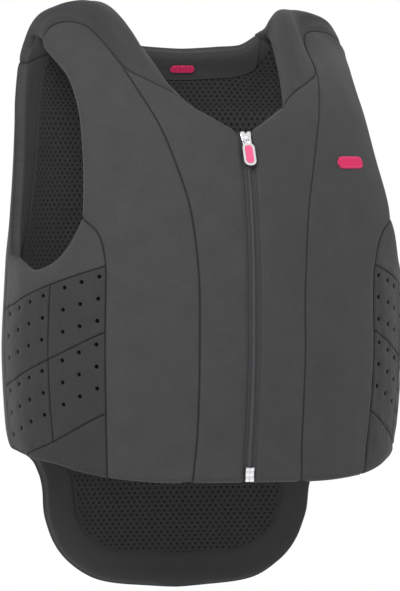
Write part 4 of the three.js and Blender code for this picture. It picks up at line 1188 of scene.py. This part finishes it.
def bottom_box():
    """The bottom stop: a pin and its box, side by side, with ribs across them."""
    parts = []
    back = 4.45
    half = BOX_HEIGHT / 2

    def block(low, high, bottom, top, front, back):
        outline = [(low, bottom), (high, bottom), (high, top), (low, top)]
        parts.append(prism(outline, front, back, 1))

    for low, high in ((-4.7, -0.25), (0.25, 4.7)):
        block(low, high, -half, -half + 5.0, 0.0, back)
        block(low, high, -half + 5.3, half - 4.0, 0.6, back)
        block(low, high, half - 3.7, half, 0.1, back)
    block(-4.2, 4.2, -half + 0.5, half - 0.5, 1.4, back - 0.3)
    silver_piece("bottom_stop", "zip_box", parts, half)


def patch(name, node, turn, height, width, tall, low, high):
    """A plain round-ended tab sewn onto a face, crowned, with a stitched edge."""
    u, v = np.linspace(-1, 1, 61), np.linspace(-1, 1, 21)
    end = np.maximum(np.abs(u) * width / 2 - (width - tall) / 2, 0) / (tall / 2)
    half = tall / 2 * np.sqrt(np.maximum(1 - end ** 2, 0.02))
    x, z = np.broadcast_to(u * width / 2, (21, 61)), v[:, None] * half
    per_mm = 1 / np.linalg.norm(face_point(turn + 1, height) - face_point(turn, height))
    crosses = turn > 175
    spots = places(turn - np.abs(x) * per_mm if crosses else turn + x * per_mm, height + z)
    base, out = surface(spots), normals(spots)
    if crosses:
        flip = np.stack([np.where(x < 0, -1, 1), np.ones(x.shape), np.ones(x.shape)], -1)
        base, out = base * flip, out * flip
    core = np.maximum(np.abs(x) - (width - tall) / 2, 0)
    edge = np.maximum(tall / 2 - np.hypot(core, z), 0)
    rise = low + (high - low) * (0.35 + 0.65 * np.sqrt(np.minimum(edge / 1.2, 1)))
    rise = rise - 0.3 * np.exp(-((edge - 1.6) / 0.5) ** 2)
    upper, lower = base + out * rise[..., None], base + out * low
    if high < 0:
        upper, lower = base + out * (low + high - rise)[..., None], base + out * high
    # the seam distance gives the stitched row 1.6 mm in and painted shade along the tab's outline
    thin_sheet(name, node, upper, lower, np.stack([x, z], -1), np.maximum(edge - 0.7, 0.45),
               x + 100, ACCENT)


for one_side in (1, -1):
    zip_tape(one_side)
coil()
slider()
refined("pull_frame", "zip_pull", "pull_tab", SILVER, 0.4)
refined("pull_inlay", "pull_insert", "pull_tab", RUBBER, 0.45)
bottom_box()
patch("chest_patch", "chest_tab", 39, 0.66 * RISE, 36, 13, 0.2, 2.1)
patch("collar_patch", "collar_tab", 180, NAPE["rise"][-1] * RISE - BAND / 2, 25, 11, -20.5, -19.4)


# Floor, light and camera
floor_mesh = bpy.data.meshes.new("floor")
turns = [2 * math.pi * k / 64 for k in range(64)]
FLOOR = -0.70
floor_mesh.from_pydata([(math.cos(a), math.sin(a), FLOOR) for a in turns], [],
                       [tuple(range(64))])
floor = bpy.data.objects.new("floor", floor_mesh)
bpy.context.scene.collection.objects.link(floor)
floor_mat, floor_kit, floor_bsdf = tree_of("pale_floor")
floor_grain = floor_kit.noise(floor_kit.spot(), 3.0)
floor_kit.put(floor_bsdf.inputs["Base Color"],
              floor_kit.tint(floor_grain, (0.86, 0.86, 0.86), (0.9, 0.9, 0.9)))
floor_bsdf.inputs["Roughness"].default_value = 0.9
floor_mesh.materials.append(floor_mat)

world = bpy.data.worlds.new("studio")
bpy.context.scene.world = world
world.use_nodes = True
world.node_tree.nodes["Background"].inputs[0].default_value = (1, 1, 1, 1)
world.node_tree.nodes["Background"].inputs[1].default_value = 1.0
bpy.context.scene.view_settings.view_transform = "Standard"


def look_along(obj, way):
    obj.rotation_euler = Vector(way).to_track_quat("-Z", "Y").to_euler()


def area_light(name, place, aim, size, power):
    data = bpy.data.lights.new(name, "AREA")
    data.shape = "RECTANGLE"
    data.size, data.size_y = size
    data.energy = power
    obj = bpy.data.objects.new(name, data)
    bpy.context.scene.collection.objects.link(obj)
    obj.location = place
    look_along(obj, np.array(aim, float) - np.array(place, float))


area_light("key", (-0.9, -1.35, 0.75), (0, 0, -0.2), (1.0, 1.0), 30)
area_light("rim_light", (2.6, 0.6, 0.3), (0, 0, -0.3), (0.8, 1.8), 8)

AZ, EL, DISTANCE, SCALE = math.radians(-20.1), math.radians(1.0), 8.34, 1.06
PHOTO_WIDE, PHOTO_TALL, AIM_X, AIM_Y, AIM_HEIGHT = 400, 591, 204.46, 297.89, 190
aim = np.array([0, 0, (AIM_HEIGHT - ORIGIN) * MM])
toward = np.array([math.sin(AZ) * math.cos(EL), -math.cos(AZ) * math.cos(EL), math.sin(EL)])
camera_data = bpy.data.cameras.new("camera")
camera_data.sensor_width = 36
camera_data.lens = DISTANCE * 1000 / SCALE / PHOTO_TALL * 36
camera_data.shift_x = -(AIM_X - PHOTO_WIDE / 2) / PHOTO_TALL
camera_data.shift_y = (AIM_Y - PHOTO_TALL / 2) / PHOTO_TALL
camera_data.clip_end = 50
camera = bpy.data.objects.new("camera", camera_data)
bpy.context.scene.collection.objects.link(camera)
camera.location = tuple(aim + toward * DISTANCE)
look_along(camera, -toward)
bpy.context.scene.camera = camera
